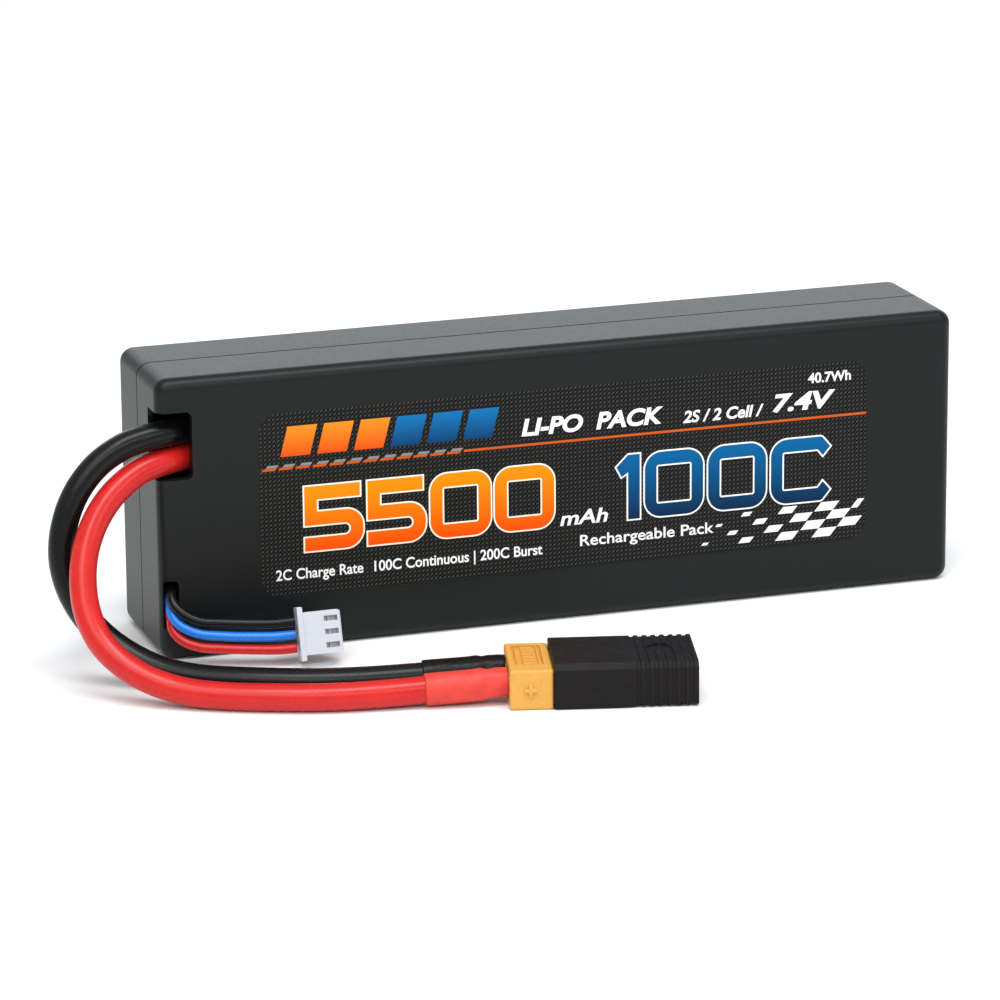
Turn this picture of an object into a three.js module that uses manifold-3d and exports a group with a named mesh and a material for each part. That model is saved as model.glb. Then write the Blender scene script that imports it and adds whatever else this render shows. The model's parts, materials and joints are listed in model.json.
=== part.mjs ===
// Two-cell lithium polymer battery pack in a hard case, standing on its long narrow side.
// Millimetres, +Z up. The origin is the centre of the case's bottom, +X runs along the case towards its
// plain end, and the labelled face looks along -Y. The power leads and the balance leads leave the case
// at its -X end and lie on the surface in front of it.
import * as THREE from "three";
import { mergeVertices } from "three/addons/utils/BufferGeometryUtils.js";
import Module from "manifold-3d";

const wasm = await Module();
wasm.setup();

// Driving dimensions
const GAP = 0.3; // air between pieces that touch on the real pack
const CASE = { length: 138, depth: 25, height: 47, wall: 2, face: 1.8, corner: 2.3, fillet: 2 };
const SEAM = { lipOut: 0.8, lip: 0.8, rise: 1.2, clear: 0.3 };
const LEAD_NOTCH = { wide: 5.8, deep: 5.7, low: 30.3, high: 41.5, corner: 1, lip: 0.8, reach: 9.4 };
const BALANCE_SLOT = { wide: 3, low: 5.5, high: 13.5, corner: 0.8, step: 0.8, lip: 0.6, reach: 7 };
const LABEL = { length: 105.6, height: 31, thick: 0.2, corner: 3.4, x: 0.7, z: 24.4, clear: 0.02 };
const CELL = { length: 116, height: 41.8, thick: 9.2, corner: 1.2, start: -52, terrace: 4, flap: 1, y: 5.1 };
const PAD = { thick: 0.6, y: 10.2, height: 38, length: 104 };
const TAPE = { thick: 0.5, length: 100, height: 36 };
const END_FOAM = { thick: 2.4, depth: 19, height: 40 };
const TAB = { thick: 0.3, wide: 8, foot: 3, high: 35, low: 12 };
const BOARD = { thick: 1.2, depth: 19.2, height: 38.5, x: -55, corner: 1 };
const LEAD = { diameter: 4.4, sides: 12, steps: 36 };
const SLEEVE = { outer: 2.6, inner: 2.34, neckOuter: 2.42, neckInner: 2.14, start: -13.7, neck: -4.4, taper: 1 };
const BALANCE_LEAD = { diameter: 1.6, sides: 8, steps: 20 };
const PLUG = { block: 6.9, width: 14.8, height: 6.5, round: 0.5, nose: 7.8, noseWidth: 12.6, noseHeight: 5.2 };
const SOCKET = { pitch: 6.7, bore: 2.3, outer: 2.05, inner: 1.75, cup: 1.9, cupInner: 1.5, back: -4.2, depth: 9 };
const ADAPTER = { length: 22.6, width: 15.6, height: 7.4, chamfer: 0.95, foot: 0.4, mouth: 8.6, clear: 0.3 };
const RIB = { count: 7, pitch: 1.4, wide: 0.75, high: 0.25 };
const PIN = { radius: 1.55, reach: 6.8, root: 3.2, bore: 1.85 };
const BLADE = { slotLong: 6.4, slotShort: 1.9, thick: 0.7, depth: 9.5, inset: 0.6 };
const BALANCE_PLUG = { length: 7, height: 6.9, thick: 4.6, flange: 0.9, flangeHeight: 8.75, flangeThick: 5.2 };
const CONTACT = { pitch: 2.15, tunnel: 1.6, size: 1.2, length: 5.5, window: 2.2, windowHigh: 0.85, front: 0.55 };
const FLOOR_CLEAR = 0.05; // the connectors lie on the surface, this far above Z = 0

// Places worked out from them
const END_X = -CASE.length / 2;
const FRONT_Y = -CASE.depth / 2;
const INNER_X = END_X + CASE.wall;
const INNER_Y = FRONT_Y + CASE.face;
const MID_Z = CASE.height / 2;
const PLUG_REAR = new THREE.Vector3(-22.1, -48, 0); // middle of the power plug's rear face, on the surface
const PLUG_TURN = THREE.MathUtils.degToRad(-14.5);
const PLUG_AXIS_Z = 3.3;
const BALANCE_REAR = new THREE.Vector3(-48.6, -20.8, 5.05); // middle of the balance plug's wire side
const BALANCE_LEAN = THREE.MathUtils.degToRad(-17); // its top leans back towards the case
const BALANCE_ROLL = THREE.MathUtils.degToRad(-3.3); // its free end is held up a little by the wires
const BALANCE_TURN = THREE.MathUtils.degToRad(-10);

// Routes, chosen by hand: each list starts at the solder joint inside the case and ends in a connector.
const RED_ROUTE = [
  [-57.3, -5.4, 32.8], [-59.8, -5.8, 32.8], [-62.1, -6.7, 32.8], [-64.2, -7.9, 32.8], [-66.3, -9.1, 32.8],
  [-68.4, -10, 32.7], [-71.2, -11, 32.2], [-74, -12.1, 31], [-77.5, -13.7, 28.6], [-80.6, -15.7, 25.1],
  [-82.8, -18.3, 21.1], [-83.9, -21.2, 16.9], [-83.9, -24.1, 12.9], [-82.7, -27, 9.3], [-80.2, -30, 6.4],
  [-76.6, -33.1, 4.2], [-72, -36.1, 2.8], [-66.4, -39.2, 2.3], [-59, -42.6, 2.3], [-51.5, -45.3, 2.3],
  [-44.2, -46.9, 2.4], [-36.25, -48.2, 2.7], [-31.75, -49.05, 2.98], [-27.3, -50.1, 3.18],
];
const BLACK_ROUTE = [
  [-57.3, -5.8, 37.4], [-59.8, -6.2, 37.4], [-62.1, -7, 37.4], [-64.2, -8, 37.4], [-66.3, -9.1, 37.4],
  [-68.6, -9.9, 37.4], [-71.2, -10.4, 37.1], [-74.4, -10.7, 36.2], [-78.6, -11, 33.7], [-82.3, -11.6, 29.6],
  [-84.6, -12.4, 24.6], [-85.4, -13.4, 19.5], [-84.7, -15, 14.8], [-82.8, -17.1, 10.7], [-80.1, -19.6, 7.5],
  [-76.7, -22.6, 5], [-72.5, -26, 3.2], [-67.4, -29.4, 2.4], [-59.5, -33.6, 2.3], [-51.4, -37, 2.3],
  [-43.5, -39.4, 2.4], [-34.6, -41.4, 2.7], [-30.1, -42.55, 2.98], [-25.6, -43.65, 3.18],
];
const BALANCE_BLACK_ROUTE = [
  [-56.9, -6, 12.3], [-60, -6, 12.3], [-63.4, -6.3, 12.4], [-65.9, -7.5, 12.3], [-67, -9.4, 12],
  [-67.2, -11.4, 11.4], [-67.3, -13.1, 10.2], [-66.2, -14.6, 8.7], [-63.7, -15.9, 7.4], [-60, -16.9, 7.05],
  [-55.6, -18.3, 6.9], [-51.6, -19.65, 6.95], [-48.9, -20.1, 7.1],
];
const BALANCE_BLUE_ROUTE = [
  [-56.9, -6, 9.9], [-60, -6, 9.9], [-63.4, -6.3, 10], [-65.9, -7.5, 9.9], [-67, -9.4, 9.8],
  [-67.3, -11.5, 9.3], [-67.4, -13.3, 7.95], [-66.3, -14.8, 6.5], [-63.8, -16.2, 5.4], [-60.2, -17.4, 5],
  [-55.7, -18.9, 4.85], [-51.6, -20.25, 4.9], [-48.9, -20.75, 5.05],
];
const BALANCE_RED_ROUTE = [
  [-56.9, -6, 7.5], [-60, -6, 7.5], [-63.4, -6.3, 7.6], [-65.9, -7.5, 7.6], [-67, -9.4, 7.6],
  [-67.3, -11.6, 7.2], [-67.4, -13.6, 5.5], [-66.3, -15, 4.2], [-63.9, -16.5, 3.3], [-60.3, -17.8, 3],
  [-55.8, -19.4, 2.85], [-51.6, -20.9, 2.85], [-48.9, -21.4, 3],
];

// Materials
const material = (color, roughness, metalness = 0) =>
  new THREE.MeshStandardMaterial({ color, roughness, metalness });
const CASE_PLASTIC = material(0x2b2e2f, 0.45);
const LABEL_FILM = material(0x1c1d1f, 0.35);
const POUCH_FILM = material(0xb9bcc0, 0.35, 0.8);
const FOAM = material(0x3a3b3d, 0.95);
const TAPE_FILM = material(0xd9c27a, 0.6);
const ALUMINIUM = material(0xc4c7ca, 0.4, 1);
const NICKEL = material(0xa8a294, 0.35, 1);
const BOARD_LAMINATE = material(0x1d5b34, 0.5);
const SOLDER = material(0xb4b6b8, 0.3, 1);
const RED_SILICONE = material(0xe83a36, 0.4);
const BLACK_SILICONE = material(0x26292b, 0.4);
const BLUE_SILICONE = material(0x1f78d8, 0.4);
const RED_SHRINK = material(0xf0544a, 0.6);
const BLACK_SHRINK = material(0x17191b, 0.5);
const YELLOW_NYLON = material(0xf2b84e, 0.5);
const GOLD = material(0xd8a84a, 0.25, 1);
const BLACK_NYLON = material(0x2a282b, 0.6);
const BRASS = material(0xc9a253, 0.3, 1);
const WHITE_NYLON = material(0xdfe2ea, 0.4);
const TIN = material(0xc8c9cc, 0.35, 1);

// From a closed three.js geometry to a solid, and back
function solid(geometry) {
  geometry.deleteAttribute("normal");
  geometry.deleteAttribute("uv");
  const merged = mergeVertices(geometry, 1e-4);
  const mesh = new wasm.Mesh({
    numProp: 3,
    vertProperties: merged.attributes.position.array,
    triVerts: new Uint32Array(merged.index.array),
  });
  return new wasm.Manifold(mesh);
}

function surface(body) {
  const mesh = body.getMesh();
  const geometry = new THREE.BufferGeometry();
  geometry.setAttribute("position", new THREE.BufferAttribute(mesh.vertProperties, 3));
  geometry.setIndex(new THREE.BufferAttribute(mesh.triVerts, 1));
  geometry.computeVertexNormals();
  return geometry;
}

// A box between two corners
function block(low, high) {
  const size = high.map((value, i) => value - low[i]);
  const middle = high.map((value, i) => (value + low[i]) / 2);
  return solid(new THREE.BoxGeometry(...size).translate(...middle));
}

// A rectangle with round corners, centred on (x, y)
function roundedRectangle(width, height, radius, x = 0, y = 0) {
  const right = x + width / 2 - radius;
  const left = x - width / 2 + radius;
  const top = y + height / 2 - radius;
  const bottom = y - height / 2 + radius;
  const shape = new THREE.Shape();
  shape.absarc(right, top, radius, 0, Math.PI / 2);
  shape.absarc(left, top, radius, Math.PI / 2, Math.PI);
  shape.absarc(left, bottom, radius, Math.PI, 1.5 * Math.PI);
  shape.absarc(right, bottom, radius, 1.5 * Math.PI, 2 * Math.PI);
  shape.closePath();
  return shape;
}

function polygon(points) {
  return new THREE.Shape(points.map(([x, y]) => new THREE.Vector2(x, y)));
}

// An outline in X and Z, given thickness from y0 to y1
function acrossY(shape, y0, y1, curveSegments = 5) {
  const geometry = new THREE.ExtrudeGeometry(shape, { depth: y1 - y0, bevelEnabled: false, curveSegments });
  return solid(geometry.rotateX(Math.PI / 2).translate(0, y1, 0));
}

// An outline in Y and Z, given length from x0 to x1
function alongX(shape, x0, x1, curveSegments = 4) {
  const geometry = new THREE.ExtrudeGeometry(shape, { depth: x1 - x0, bevelEnabled: false, curveSegments });
  return solid(geometry.rotateX(Math.PI / 2).rotateZ(Math.PI / 2).translate(x0, 0, 0));
}

// A profile of [radius, x] pairs turned about the X direction through (0, y, z)
function turned(profile, y, z, segments = 20) {
  const points = profile.map(([radius, x]) => new THREE.Vector2(radius, x));
  return solid(new THREE.LatheGeometry(points, segments).rotateZ(-Math.PI / 2).translate(0, y, z));
}

function rod(radius, x0, x1, y, z, segments = 20) {
  return turned([[0, x0], [radius, x0], [radius, x1], [0, x1]], y, z, segments);
}

// A closed tube of even thickness along a smooth route
function tube(route, { diameter, sides, steps }) {
  const path = new THREE.CatmullRomCurve3(route.map((point) => new THREE.Vector3(...point)));
  const ring = Array.from({ length: sides }, (_, i) => {
    const angle = (2 * Math.PI * i) / sides;
    return [(diameter / 2) * Math.cos(angle), (diameter / 2) * Math.sin(angle)];
  });
  return new THREE.ExtrudeGeometry(polygon(ring), { steps, extrudePath: path });
}

const pack = new THREE.Group();

function place(name, shape, look, group = pack) {
  const geometry = shape.isBufferGeometry ? shape : surface(shape);
  const mesh = new THREE.Mesh(geometry, look);
  mesh.name = name;
  group.add(mesh);
}

// Case: a rounded block, hollowed and parted at the middle of its depth
function caseBlock() {
  const { length, depth, height, corner, fillet } = CASE;
  const inset = 2 * fillet;
  const outline = roundedRectangle(length - inset, height - inset, corner - fillet, 0, MID_Z);
  const geometry = new THREE.ExtrudeGeometry(outline, {
    depth: depth - inset, bevelEnabled: true, bevelThickness: fillet, bevelSize: fillet,
    bevelSegments: 4, curveSegments: 2,
  });
  const body = solid(geometry.rotateX(Math.PI / 2).translate(0, depth / 2 - fillet, 0));
  const cavity = roundedRectangle(length - 2 * CASE.wall, height - 2 * CASE.wall, 1, 0, MID_Z);
  return body.subtract(acrossY(cavity, INNER_Y, -INNER_Y));
}

// A band that follows the case's outline, from one depth inside it to another
function seamBand(outer, inner, y0, y1) {
  const round = (inset) => Math.max(CASE.corner - inset, 1);
  const ring = roundedRectangle(CASE.length - 2 * outer, CASE.height - 2 * outer, round(outer), 0, MID_Z);
  const hole = roundedRectangle(CASE.length - 2 * inner, CASE.height - 2 * inner, round(inner), 0, MID_Z);
  ring.holes.push(hole);
  return acrossY(ring, y0, y1);
}

// The leads' opening wraps the case's corner; behind it the end wall is thinned so that they can turn in
function leadNotch() {
  const { wide, deep, low, high, corner, lip, reach } = LEAD_NOTCH;
  const past = 4;
  const width = wide + past;
  const middle = (low + high) / 2;
  const mouth = roundedRectangle(width, high - low, corner, END_X + wide - width / 2, middle);
  const relief = roundedRectangle(wide - lip, high - low, corner, END_X + (wide + lip) / 2, middle);
  return acrossY(mouth, FRONT_Y - 1, FRONT_Y + deep).add(acrossY(relief, FRONT_Y + deep - 0.1, FRONT_Y + reach));
}

function balanceSlot() {
  const { wide, low, high, corner, step, lip, reach } = BALANCE_SLOT;
  const past = 4;
  const width = wide + past;
  const height = high - low;
  const middle = (low + high) / 2;
  const mouth = roundedRectangle(width, height, corner, END_X + wide - width / 2, middle);
  const pocketWidth = wide - lip;
  const pocket = roundedRectangle(pocketWidth, height, corner, END_X + lip + pocketWidth / 2, middle);
  return acrossY(mouth, FRONT_Y - 1, FRONT_Y + step).add(acrossY(pocket, FRONT_Y + step - 0.1, FRONT_Y + reach));
}

function labelOutline(grow = 0) {
  return roundedRectangle(LABEL.length + 2 * grow, LABEL.height + 2 * grow, LABEL.corner + grow, LABEL.x, LABEL.z);
}

function addCase() {
  const whole = caseBlock();
  const far = CASE.length;
  const frontHalf = block([-far, -far, -1], [far, -GAP / 2, far]);
  const backHalf = block([-far, GAP / 2, -1], [far, far, far]);
  const lipStart = SEAM.lipOut;
  const tongue = seamBand(lipStart + SEAM.clear, lipStart + SEAM.lip, -SEAM.rise, CASE.wall);
  const rebate = seamBand(lipStart, CASE.wall + 1, -SEAM.rise - SEAM.clear, 0);
  const recess = acrossY(labelOutline(LABEL.clear), FRONT_Y - 1, FRONT_Y + LABEL.thick + LABEL.clear);
  const front = whole.intersect(frontHalf).subtract(rebate).subtract(leadNotch());
  place("case_front_shell", front.subtract(balanceSlot()).subtract(recess), CASE_PLASTIC);
  place("case_back_shell", whole.intersect(backHalf).add(tongue), CASE_PLASTIC);
  place("front_label", acrossY(labelOutline(), FRONT_Y, FRONT_Y + LABEL.thick), LABEL_FILM);
}

// Cells: two pouches face to face, each with a thin sealed terrace where its tabs come out
function cellAt(y) {
  const { length, height, thick, corner, start, terrace, flap } = CELL;
  const section = roundedRectangle(thick, height, corner, y, MID_Z);
  const sealed = roundedRectangle(flap, height - 1.2, 0.3, y, MID_Z);
  return alongX(section, start + terrace, start + length).add(alongX(sealed, start, start + terrace + 1));
}

// A tab leaves the terrace and folds flat along the board
function tabAt(y, z, side) {
  const x0 = CELL.start - GAP;
  const x1 = BOARD.x + BOARD.thick / 2 + GAP;
  const strip = block([x1, y - TAB.thick / 2, z - TAB.wide / 2], [x0, y + TAB.thick / 2, z + TAB.wide / 2]);
  const reach = [y - side * TAB.thick / 2, y + side * TAB.foot].sort((a, b) => a - b);
  const foot = block([x1, reach[0], z - TAB.wide / 2], [x1 + TAB.thick, reach[1], z + TAB.wide / 2]);
  return strip.add(foot);
}

function addCells() {
  for (const [label, side] of [["front", -1], ["back", 1]]) {
    const y = side * CELL.y;
    place(`cell_${label}`, cellAt(y), POUCH_FILM);
    place(`cell_${label}_tab_positive`, tabAt(y, side < 0 ? TAB.high : TAB.low, side), ALUMINIUM);
    place(`cell_${label}_tab_negative`, tabAt(y, side < 0 ? TAB.low : TAB.high, side), NICKEL);
    const low = [-PAD.length / 2 + 8, side * PAD.y - PAD.thick / 2, MID_Z - PAD.height / 2];
    const high = [PAD.length / 2 + 8, side * PAD.y + PAD.thick / 2, MID_Z + PAD.height / 2];
    place(`foam_pad_${label}`, block(low, high), FOAM);
  }
  const tapeStart = CELL.start + 10;
  const tapeLow = [tapeStart, -TAPE.thick / 2, MID_Z - TAPE.height / 2];
  place("cell_tape", block(tapeLow, [tapeStart + TAPE.length, TAPE.thick / 2, MID_Z + TAPE.height / 2]), TAPE_FILM);
  const foamX = CELL.start + CELL.length + GAP;
  const foamLow = [foamX, -END_FOAM.depth / 2, MID_Z - END_FOAM.height / 2];
  const foamHigh = [foamX + END_FOAM.thick, END_FOAM.depth / 2, MID_Z + END_FOAM.height / 2];
  place("end_foam", block(foamLow, foamHigh), FOAM);
}

// Board that joins the tabs to the leads, and the solder on its outer side
function solderAt(radius, high, y, z) {
  const x = BOARD.x - BOARD.thick / 2 - GAP;
  return turned([[0, x - high], [radius * 0.45, x - high], [radius * 0.85, x - high * 0.5], [radius, x], [0, x]], y, z, 14);
}

function addBoard() {
  const outline = roundedRectangle(BOARD.depth, BOARD.height, BOARD.corner, 0, MID_Z);
  place("tab_board", alongX(outline, BOARD.x - BOARD.thick / 2, BOARD.x + BOARD.thick / 2), BOARD_LAMINATE);
  const [, redY, redZ] = RED_ROUTE[0];
  const [, blackY, blackZ] = BLACK_ROUTE[0];
  place("solder_joint_red", solderAt(2.1, 1.1, redY, redZ), SOLDER);
  place("solder_joint_black", solderAt(2.1, 1.1, blackY, blackZ), SOLDER);
  const routes = { black: BALANCE_BLACK_ROUTE, blue: BALANCE_BLUE_ROUTE, red: BALANCE_RED_ROUTE };
  for (const [label, route] of Object.entries(routes)) {
    const [, y, z] = route[0];
    place(`solder_joint_balance_${label}`, solderAt(0.9, 0.7, y, z), SOLDER);
  }
}

// Power leads with their heat-shrink sleeves, and the power plug that lies on the surface
const plug = new THREE.Group();
plug.position.copy(PLUG_REAR);
plug.rotation.z = PLUG_TURN;
pack.add(plug);

function sleeve() {
  const { outer, inner, neckOuter, neckInner, start, neck, taper } = SLEEVE;
  const profile = [
    [inner, start], [outer, start], [outer, neck], [neckOuter, neck + taper], [neckOuter, -GAP],
    [neckInner, -GAP], [neckInner, neck + taper], [inner, neck], [inner, start],
  ];
  return turned(profile, 0, 0, 16);
}

// A sleeve is turned about X, then laid along the last stretch of its lead
function placeSleeve(name, route, look) {
  const [x0, y0, z0] = route[route.length - 3];
  const [x1, y1, z1] = route[route.length - 1];
  const along = new THREE.Vector3(x1 - x0, y1 - y0, z1 - z0).normalize();
  const holder = new THREE.Group();
  const leadEnd = SOCKET.back - GAP;
  holder.quaternion.setFromUnitVectors(new THREE.Vector3(1, 0, 0), along);
  holder.position.set(x1, y1, z1).addScaledVector(along, -leadEnd);
  pack.add(holder);
  place(name, sleeve(), look, holder);
}

function addLeads() {
  place("main_lead_red", tube(RED_ROUTE, LEAD), RED_SILICONE);
  place("main_lead_black", tube(BLACK_ROUTE, LEAD), BLACK_SILICONE);
  placeSleeve("heat_shrink_red", RED_ROUTE, RED_SHRINK);
  placeSleeve("heat_shrink_black", BLACK_ROUTE, BLACK_SHRINK);
  place("balance_lead_black", tube(BALANCE_BLACK_ROUTE, BALANCE_LEAD), BLACK_SILICONE);
  place("balance_lead_blue", tube(BALANCE_BLUE_ROUTE, BALANCE_LEAD), BLUE_SILICONE);
  place("balance_lead_red", tube(BALANCE_RED_ROUTE, BALANCE_LEAD), RED_SILICONE);
}

// The nose is square at its positive side and chamfered at its negative side, so that it fits one way only
function noseOutline(grow) {
  const half = PLUG.noseWidth / 2 + grow;
  const high = PLUG.noseHeight / 2 + grow;
  const cut = 1.7;
  const z = PLUG_AXIS_Z;
  return polygon([
    [-half, z - high], [half - cut, z - high], [half, z - high + cut],
    [half, z + high - cut], [half - cut, z + high], [-half, z + high],
  ]);
}

function addPlug() {
  const { block: length, width, height, round, nose } = PLUG;
  const outline = roundedRectangle(width, height, round, 0, FLOOR_CLEAR + height / 2);
  let housing = alongX(outline, 0, length).add(alongX(noseOutline(0), length - 1, length + nose));
  for (const [label, side] of [["positive", -1], ["negative", 1]]) {
    const y = (side * SOCKET.pitch) / 2;
    housing = housing.subtract(rod(SOCKET.bore, -1, length + nose + 1, y, PLUG_AXIS_Z));
    const { outer, inner, cup, cupInner, back, depth } = SOCKET;
    const tip = length + nose - GAP;
    const profile = [
      [0, back + 3], [cupInner, back + 3], [cupInner, back], [cup, back], [cup, 0.4], [outer, 0.4],
      [outer, tip], [inner, tip], [inner, tip - depth], [0, tip - depth],
    ];
    place(`power_socket_${label}`, turned(profile, y, PLUG_AXIS_Z), GOLD, plug);
  }
  place("power_plug_housing", housing, YELLOW_NYLON, plug);
}

// Adapter that pulls off the power plug: a mouth with two pins, and two blade slots in its outer end
function adapterOutline(shrink) {
  const half = ADAPTER.width / 2 - shrink;
  const low = FLOOR_CLEAR + shrink;
  const high = FLOOR_CLEAR + ADAPTER.height - shrink;
  const { chamfer, foot } = ADAPTER;
  return polygon([
    [-half + foot, low], [half - foot, low], [half, low + foot], [half, high - chamfer],
    [half - chamfer, high], [-half + chamfer, high], [-half, high - chamfer], [-half, low + foot],
  ]);
}

function addAdapter() {
  const start = PLUG.block + GAP;
  const end = start + ADAPTER.length;
  const ribsStart = end - RIB.count * RIB.pitch;
  let housing = alongX(adapterOutline(0), start, ribsStart).add(alongX(adapterOutline(RIB.high), ribsStart - 1, end));
  for (let i = 0; i < RIB.count; i += 1) {
    const x = end - RIB.wide - i * RIB.pitch;
    housing = housing.add(alongX(adapterOutline(0), x, x + RIB.wide));
  }
  const mouthEnd = start + ADAPTER.mouth;
  housing = housing.subtract(alongX(noseOutline(ADAPTER.clear), start - 1, mouthEnd));
  for (const [label, side] of [["positive", -1], ["negative", 1]]) {
    const y = (side * SOCKET.pitch) / 2;
    const root = mouthEnd + PIN.root;
    housing = housing.subtract(rod(PIN.bore, mouthEnd - 1, root + GAP, y, PLUG_AXIS_Z));
    const tip = mouthEnd - PIN.reach;
    const profile = [[0, tip], [PIN.radius * 0.5, tip], [PIN.radius, tip + 1], [PIN.radius, root], [0, root]];
    place(`adapter_pin_${label}`, turned(profile, y, PLUG_AXIS_Z), GOLD, plug);
  }
  const slotStart = end - BLADE.depth;
  const middle = FLOOR_CLEAR + ADAPTER.height / 2;
  // the positive blade lies flat, the negative one stands upright
  const slots = [
    { label: "positive", y: -ADAPTER.width / 2 + 1.3 + BLADE.slotLong / 2, wide: BLADE.slotLong, high: BLADE.slotShort },
    { label: "negative", y: ADAPTER.width / 2 - 4.2, wide: BLADE.slotShort, high: BLADE.slotLong - 0.6 },
  ];
  for (const { label, y, wide, high } of slots) {
    housing = housing.subtract(alongX(roundedRectangle(wide, high, 0.3, y, middle), slotStart, end + 1));
    const flat = wide > high;
    const strip = flat ? [wide - 2 * GAP, BLADE.thick] : [BLADE.thick, high - 2 * GAP];
    const outline = roundedRectangle(...strip, 0.2, y, middle);
    place(`adapter_blade_${label}`, alongX(outline, slotStart + GAP, end - BLADE.inset), BRASS, plug);
  }
  place("adapter_housing", housing, BLACK_NYLON, plug);
}

// Balance plug: stands on its narrow edge, leaning back a little
const balancePlug = new THREE.Group();
balancePlug.position.copy(BALANCE_REAR);
balancePlug.rotation.set(BALANCE_LEAN, BALANCE_ROLL, BALANCE_TURN, "ZXY");
pack.add(balancePlug);

function addBalancePlug() {
  const { length, height, thick, flange, flangeHeight, flangeThick } = BALANCE_PLUG;
  let housing = alongX(roundedRectangle(thick, height, 0.3), flange - 0.2, length);
  housing = housing.add(alongX(roundedRectangle(flangeThick, flangeHeight, 0.3), 0, flange));
  const labels = ["red", "blue", "black"];
  labels.forEach((label, i) => {
    const z = (i - 1) * CONTACT.pitch;
    const half = CONTACT.tunnel / 2;
    housing = housing.subtract(block([-1, -half, z - half], [length + 1, half, z + half]));
    const windowEnd = length - CONTACT.front;
    const windowLow = [windowEnd - CONTACT.window, -thick, z - CONTACT.windowHigh / 2];
    housing = housing.subtract(block(windowLow, [windowEnd, 0, z + CONTACT.windowHigh / 2]));
    const body = CONTACT.size / 2;
    const contact = block([1, -body, z - body], [1 + CONTACT.length, body, z + body]);
    place(`balance_contact_${label}`, contact, TIN, balancePlug);
  });
  place("balance_plug_housing", housing, WHITE_NYLON, balancePlug);
}

addCase();
addCells();
addBoard();
addLeads();
addPlug();
addAdapter();
addBalancePlug();

export default pack;
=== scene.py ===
"""Two-cell hard-case battery pack with its leads, power plug, plug adapter and balance plug.

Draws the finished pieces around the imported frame: each operator below models one piece or one group of
like pieces in metres, in the frame's own coordinates, and gives it its material.
"""
import json
import math

import bmesh
import bpy
from mathutils import Matrix, Vector, noise


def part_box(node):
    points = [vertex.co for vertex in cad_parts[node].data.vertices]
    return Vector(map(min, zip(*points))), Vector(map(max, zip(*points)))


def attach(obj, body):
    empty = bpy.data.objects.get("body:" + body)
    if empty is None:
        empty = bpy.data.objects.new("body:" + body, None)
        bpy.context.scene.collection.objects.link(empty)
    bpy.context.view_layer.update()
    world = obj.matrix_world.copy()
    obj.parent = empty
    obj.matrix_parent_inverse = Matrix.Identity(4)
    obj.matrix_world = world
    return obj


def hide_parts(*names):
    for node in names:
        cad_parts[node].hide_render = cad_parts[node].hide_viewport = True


bl_info = {
    "name": "Hard-case battery pack",
    "version": (1, 0, 0),
    "blender": (4, 5, 0),
    "location": "View3D > Sidebar > Battery Pack",
    "description": "Models a two-cell hard-case battery pack with its leads and connectors",
    "category": "Object",
}

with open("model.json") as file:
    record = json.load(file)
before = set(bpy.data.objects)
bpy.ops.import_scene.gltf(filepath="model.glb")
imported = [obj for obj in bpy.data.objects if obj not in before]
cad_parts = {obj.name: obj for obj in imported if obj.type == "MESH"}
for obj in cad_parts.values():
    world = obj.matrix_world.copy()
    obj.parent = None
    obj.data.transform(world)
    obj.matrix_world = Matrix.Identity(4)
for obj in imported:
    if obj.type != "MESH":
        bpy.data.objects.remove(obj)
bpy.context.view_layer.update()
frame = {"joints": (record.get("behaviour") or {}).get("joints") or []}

MM = 0.001
TAU = 2 * math.pi
X_AXIS, Y_AXIS, Z_AXIS = 0, 1, 2
PACK_BODY = "pack"
ADAPTER_BODY = "plug_adapter"

# Places that come from the frame
FRONT_LOW, FRONT_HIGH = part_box("case_front_shell")
BACK_LOW, BACK_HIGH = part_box("case_back_shell")
LABEL_LOW, LABEL_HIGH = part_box("front_label")
BOARD_LOW, BOARD_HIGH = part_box("tab_board")
FRONT_Y = FRONT_LOW.y
BACK_Y = BACK_HIGH.y
SEAM_GAP = 0.3 * MM  # air between the two halves
TONGUE_REACH = 1.35 * MM  # how far the back half's tongue reaches into the front half's rebate

# Routes of the free leads in millimetres: from the solder joint inside the case to the connector
POWER_ROUTES = {
    "red": [
        (-57.3, -5.4, 32.8), (-59.8, -5.8, 32.8), (-62.1, -6.7, 32.8), (-64.2, -7.9, 32.8),
        (-66.3, -9.1, 32.8), (-68.4, -10, 32.7), (-71.2, -11, 32.2), (-74, -12.1, 31),
        (-77.5, -13.7, 28.6), (-80.6, -15.7, 25.1), (-82.8, -18.3, 21.1), (-83.9, -21.2, 16.9),
        (-83.9, -24.1, 12.9), (-82.7, -27, 9.3), (-80.2, -30, 6.4), (-76.6, -33.1, 4.2),
        (-72, -36.1, 2.8), (-66.4, -39.2, 2.3), (-59, -42.6, 2.3), (-51.5, -45.3, 2.3),
        (-44.2, -46.9, 2.4), (-36.25, -48.2, 2.7), (-31.75, -49.05, 2.98), (-27.3, -50.1, 3.18),
    ],
    "black": [
        (-57.3, -5.8, 37.4), (-59.8, -6.2, 37.4), (-62.1, -7, 37.4), (-64.2, -8, 37.4),
        (-66.3, -9.1, 37.4), (-68.6, -9.9, 37.4), (-71.2, -10.4, 37.1), (-74.4, -10.7, 36.2),
        (-78.6, -11, 33.7), (-82.3, -11.6, 29.6), (-84.6, -12.4, 24.6), (-85.4, -13.4, 19.5),
        (-84.7, -15, 14.8), (-82.8, -17.1, 10.7), (-80.1, -19.6, 7.5), (-76.7, -22.6, 5),
        (-72.5, -26, 3.2), (-67.4, -29.4, 2.4), (-59.5, -33.6, 2.3), (-51.4, -37, 2.3),
        (-43.5, -39.4, 2.4), (-34.6, -41.4, 2.7), (-30.1, -42.55, 2.98), (-25.6, -43.65, 3.18),
    ],
}
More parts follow.
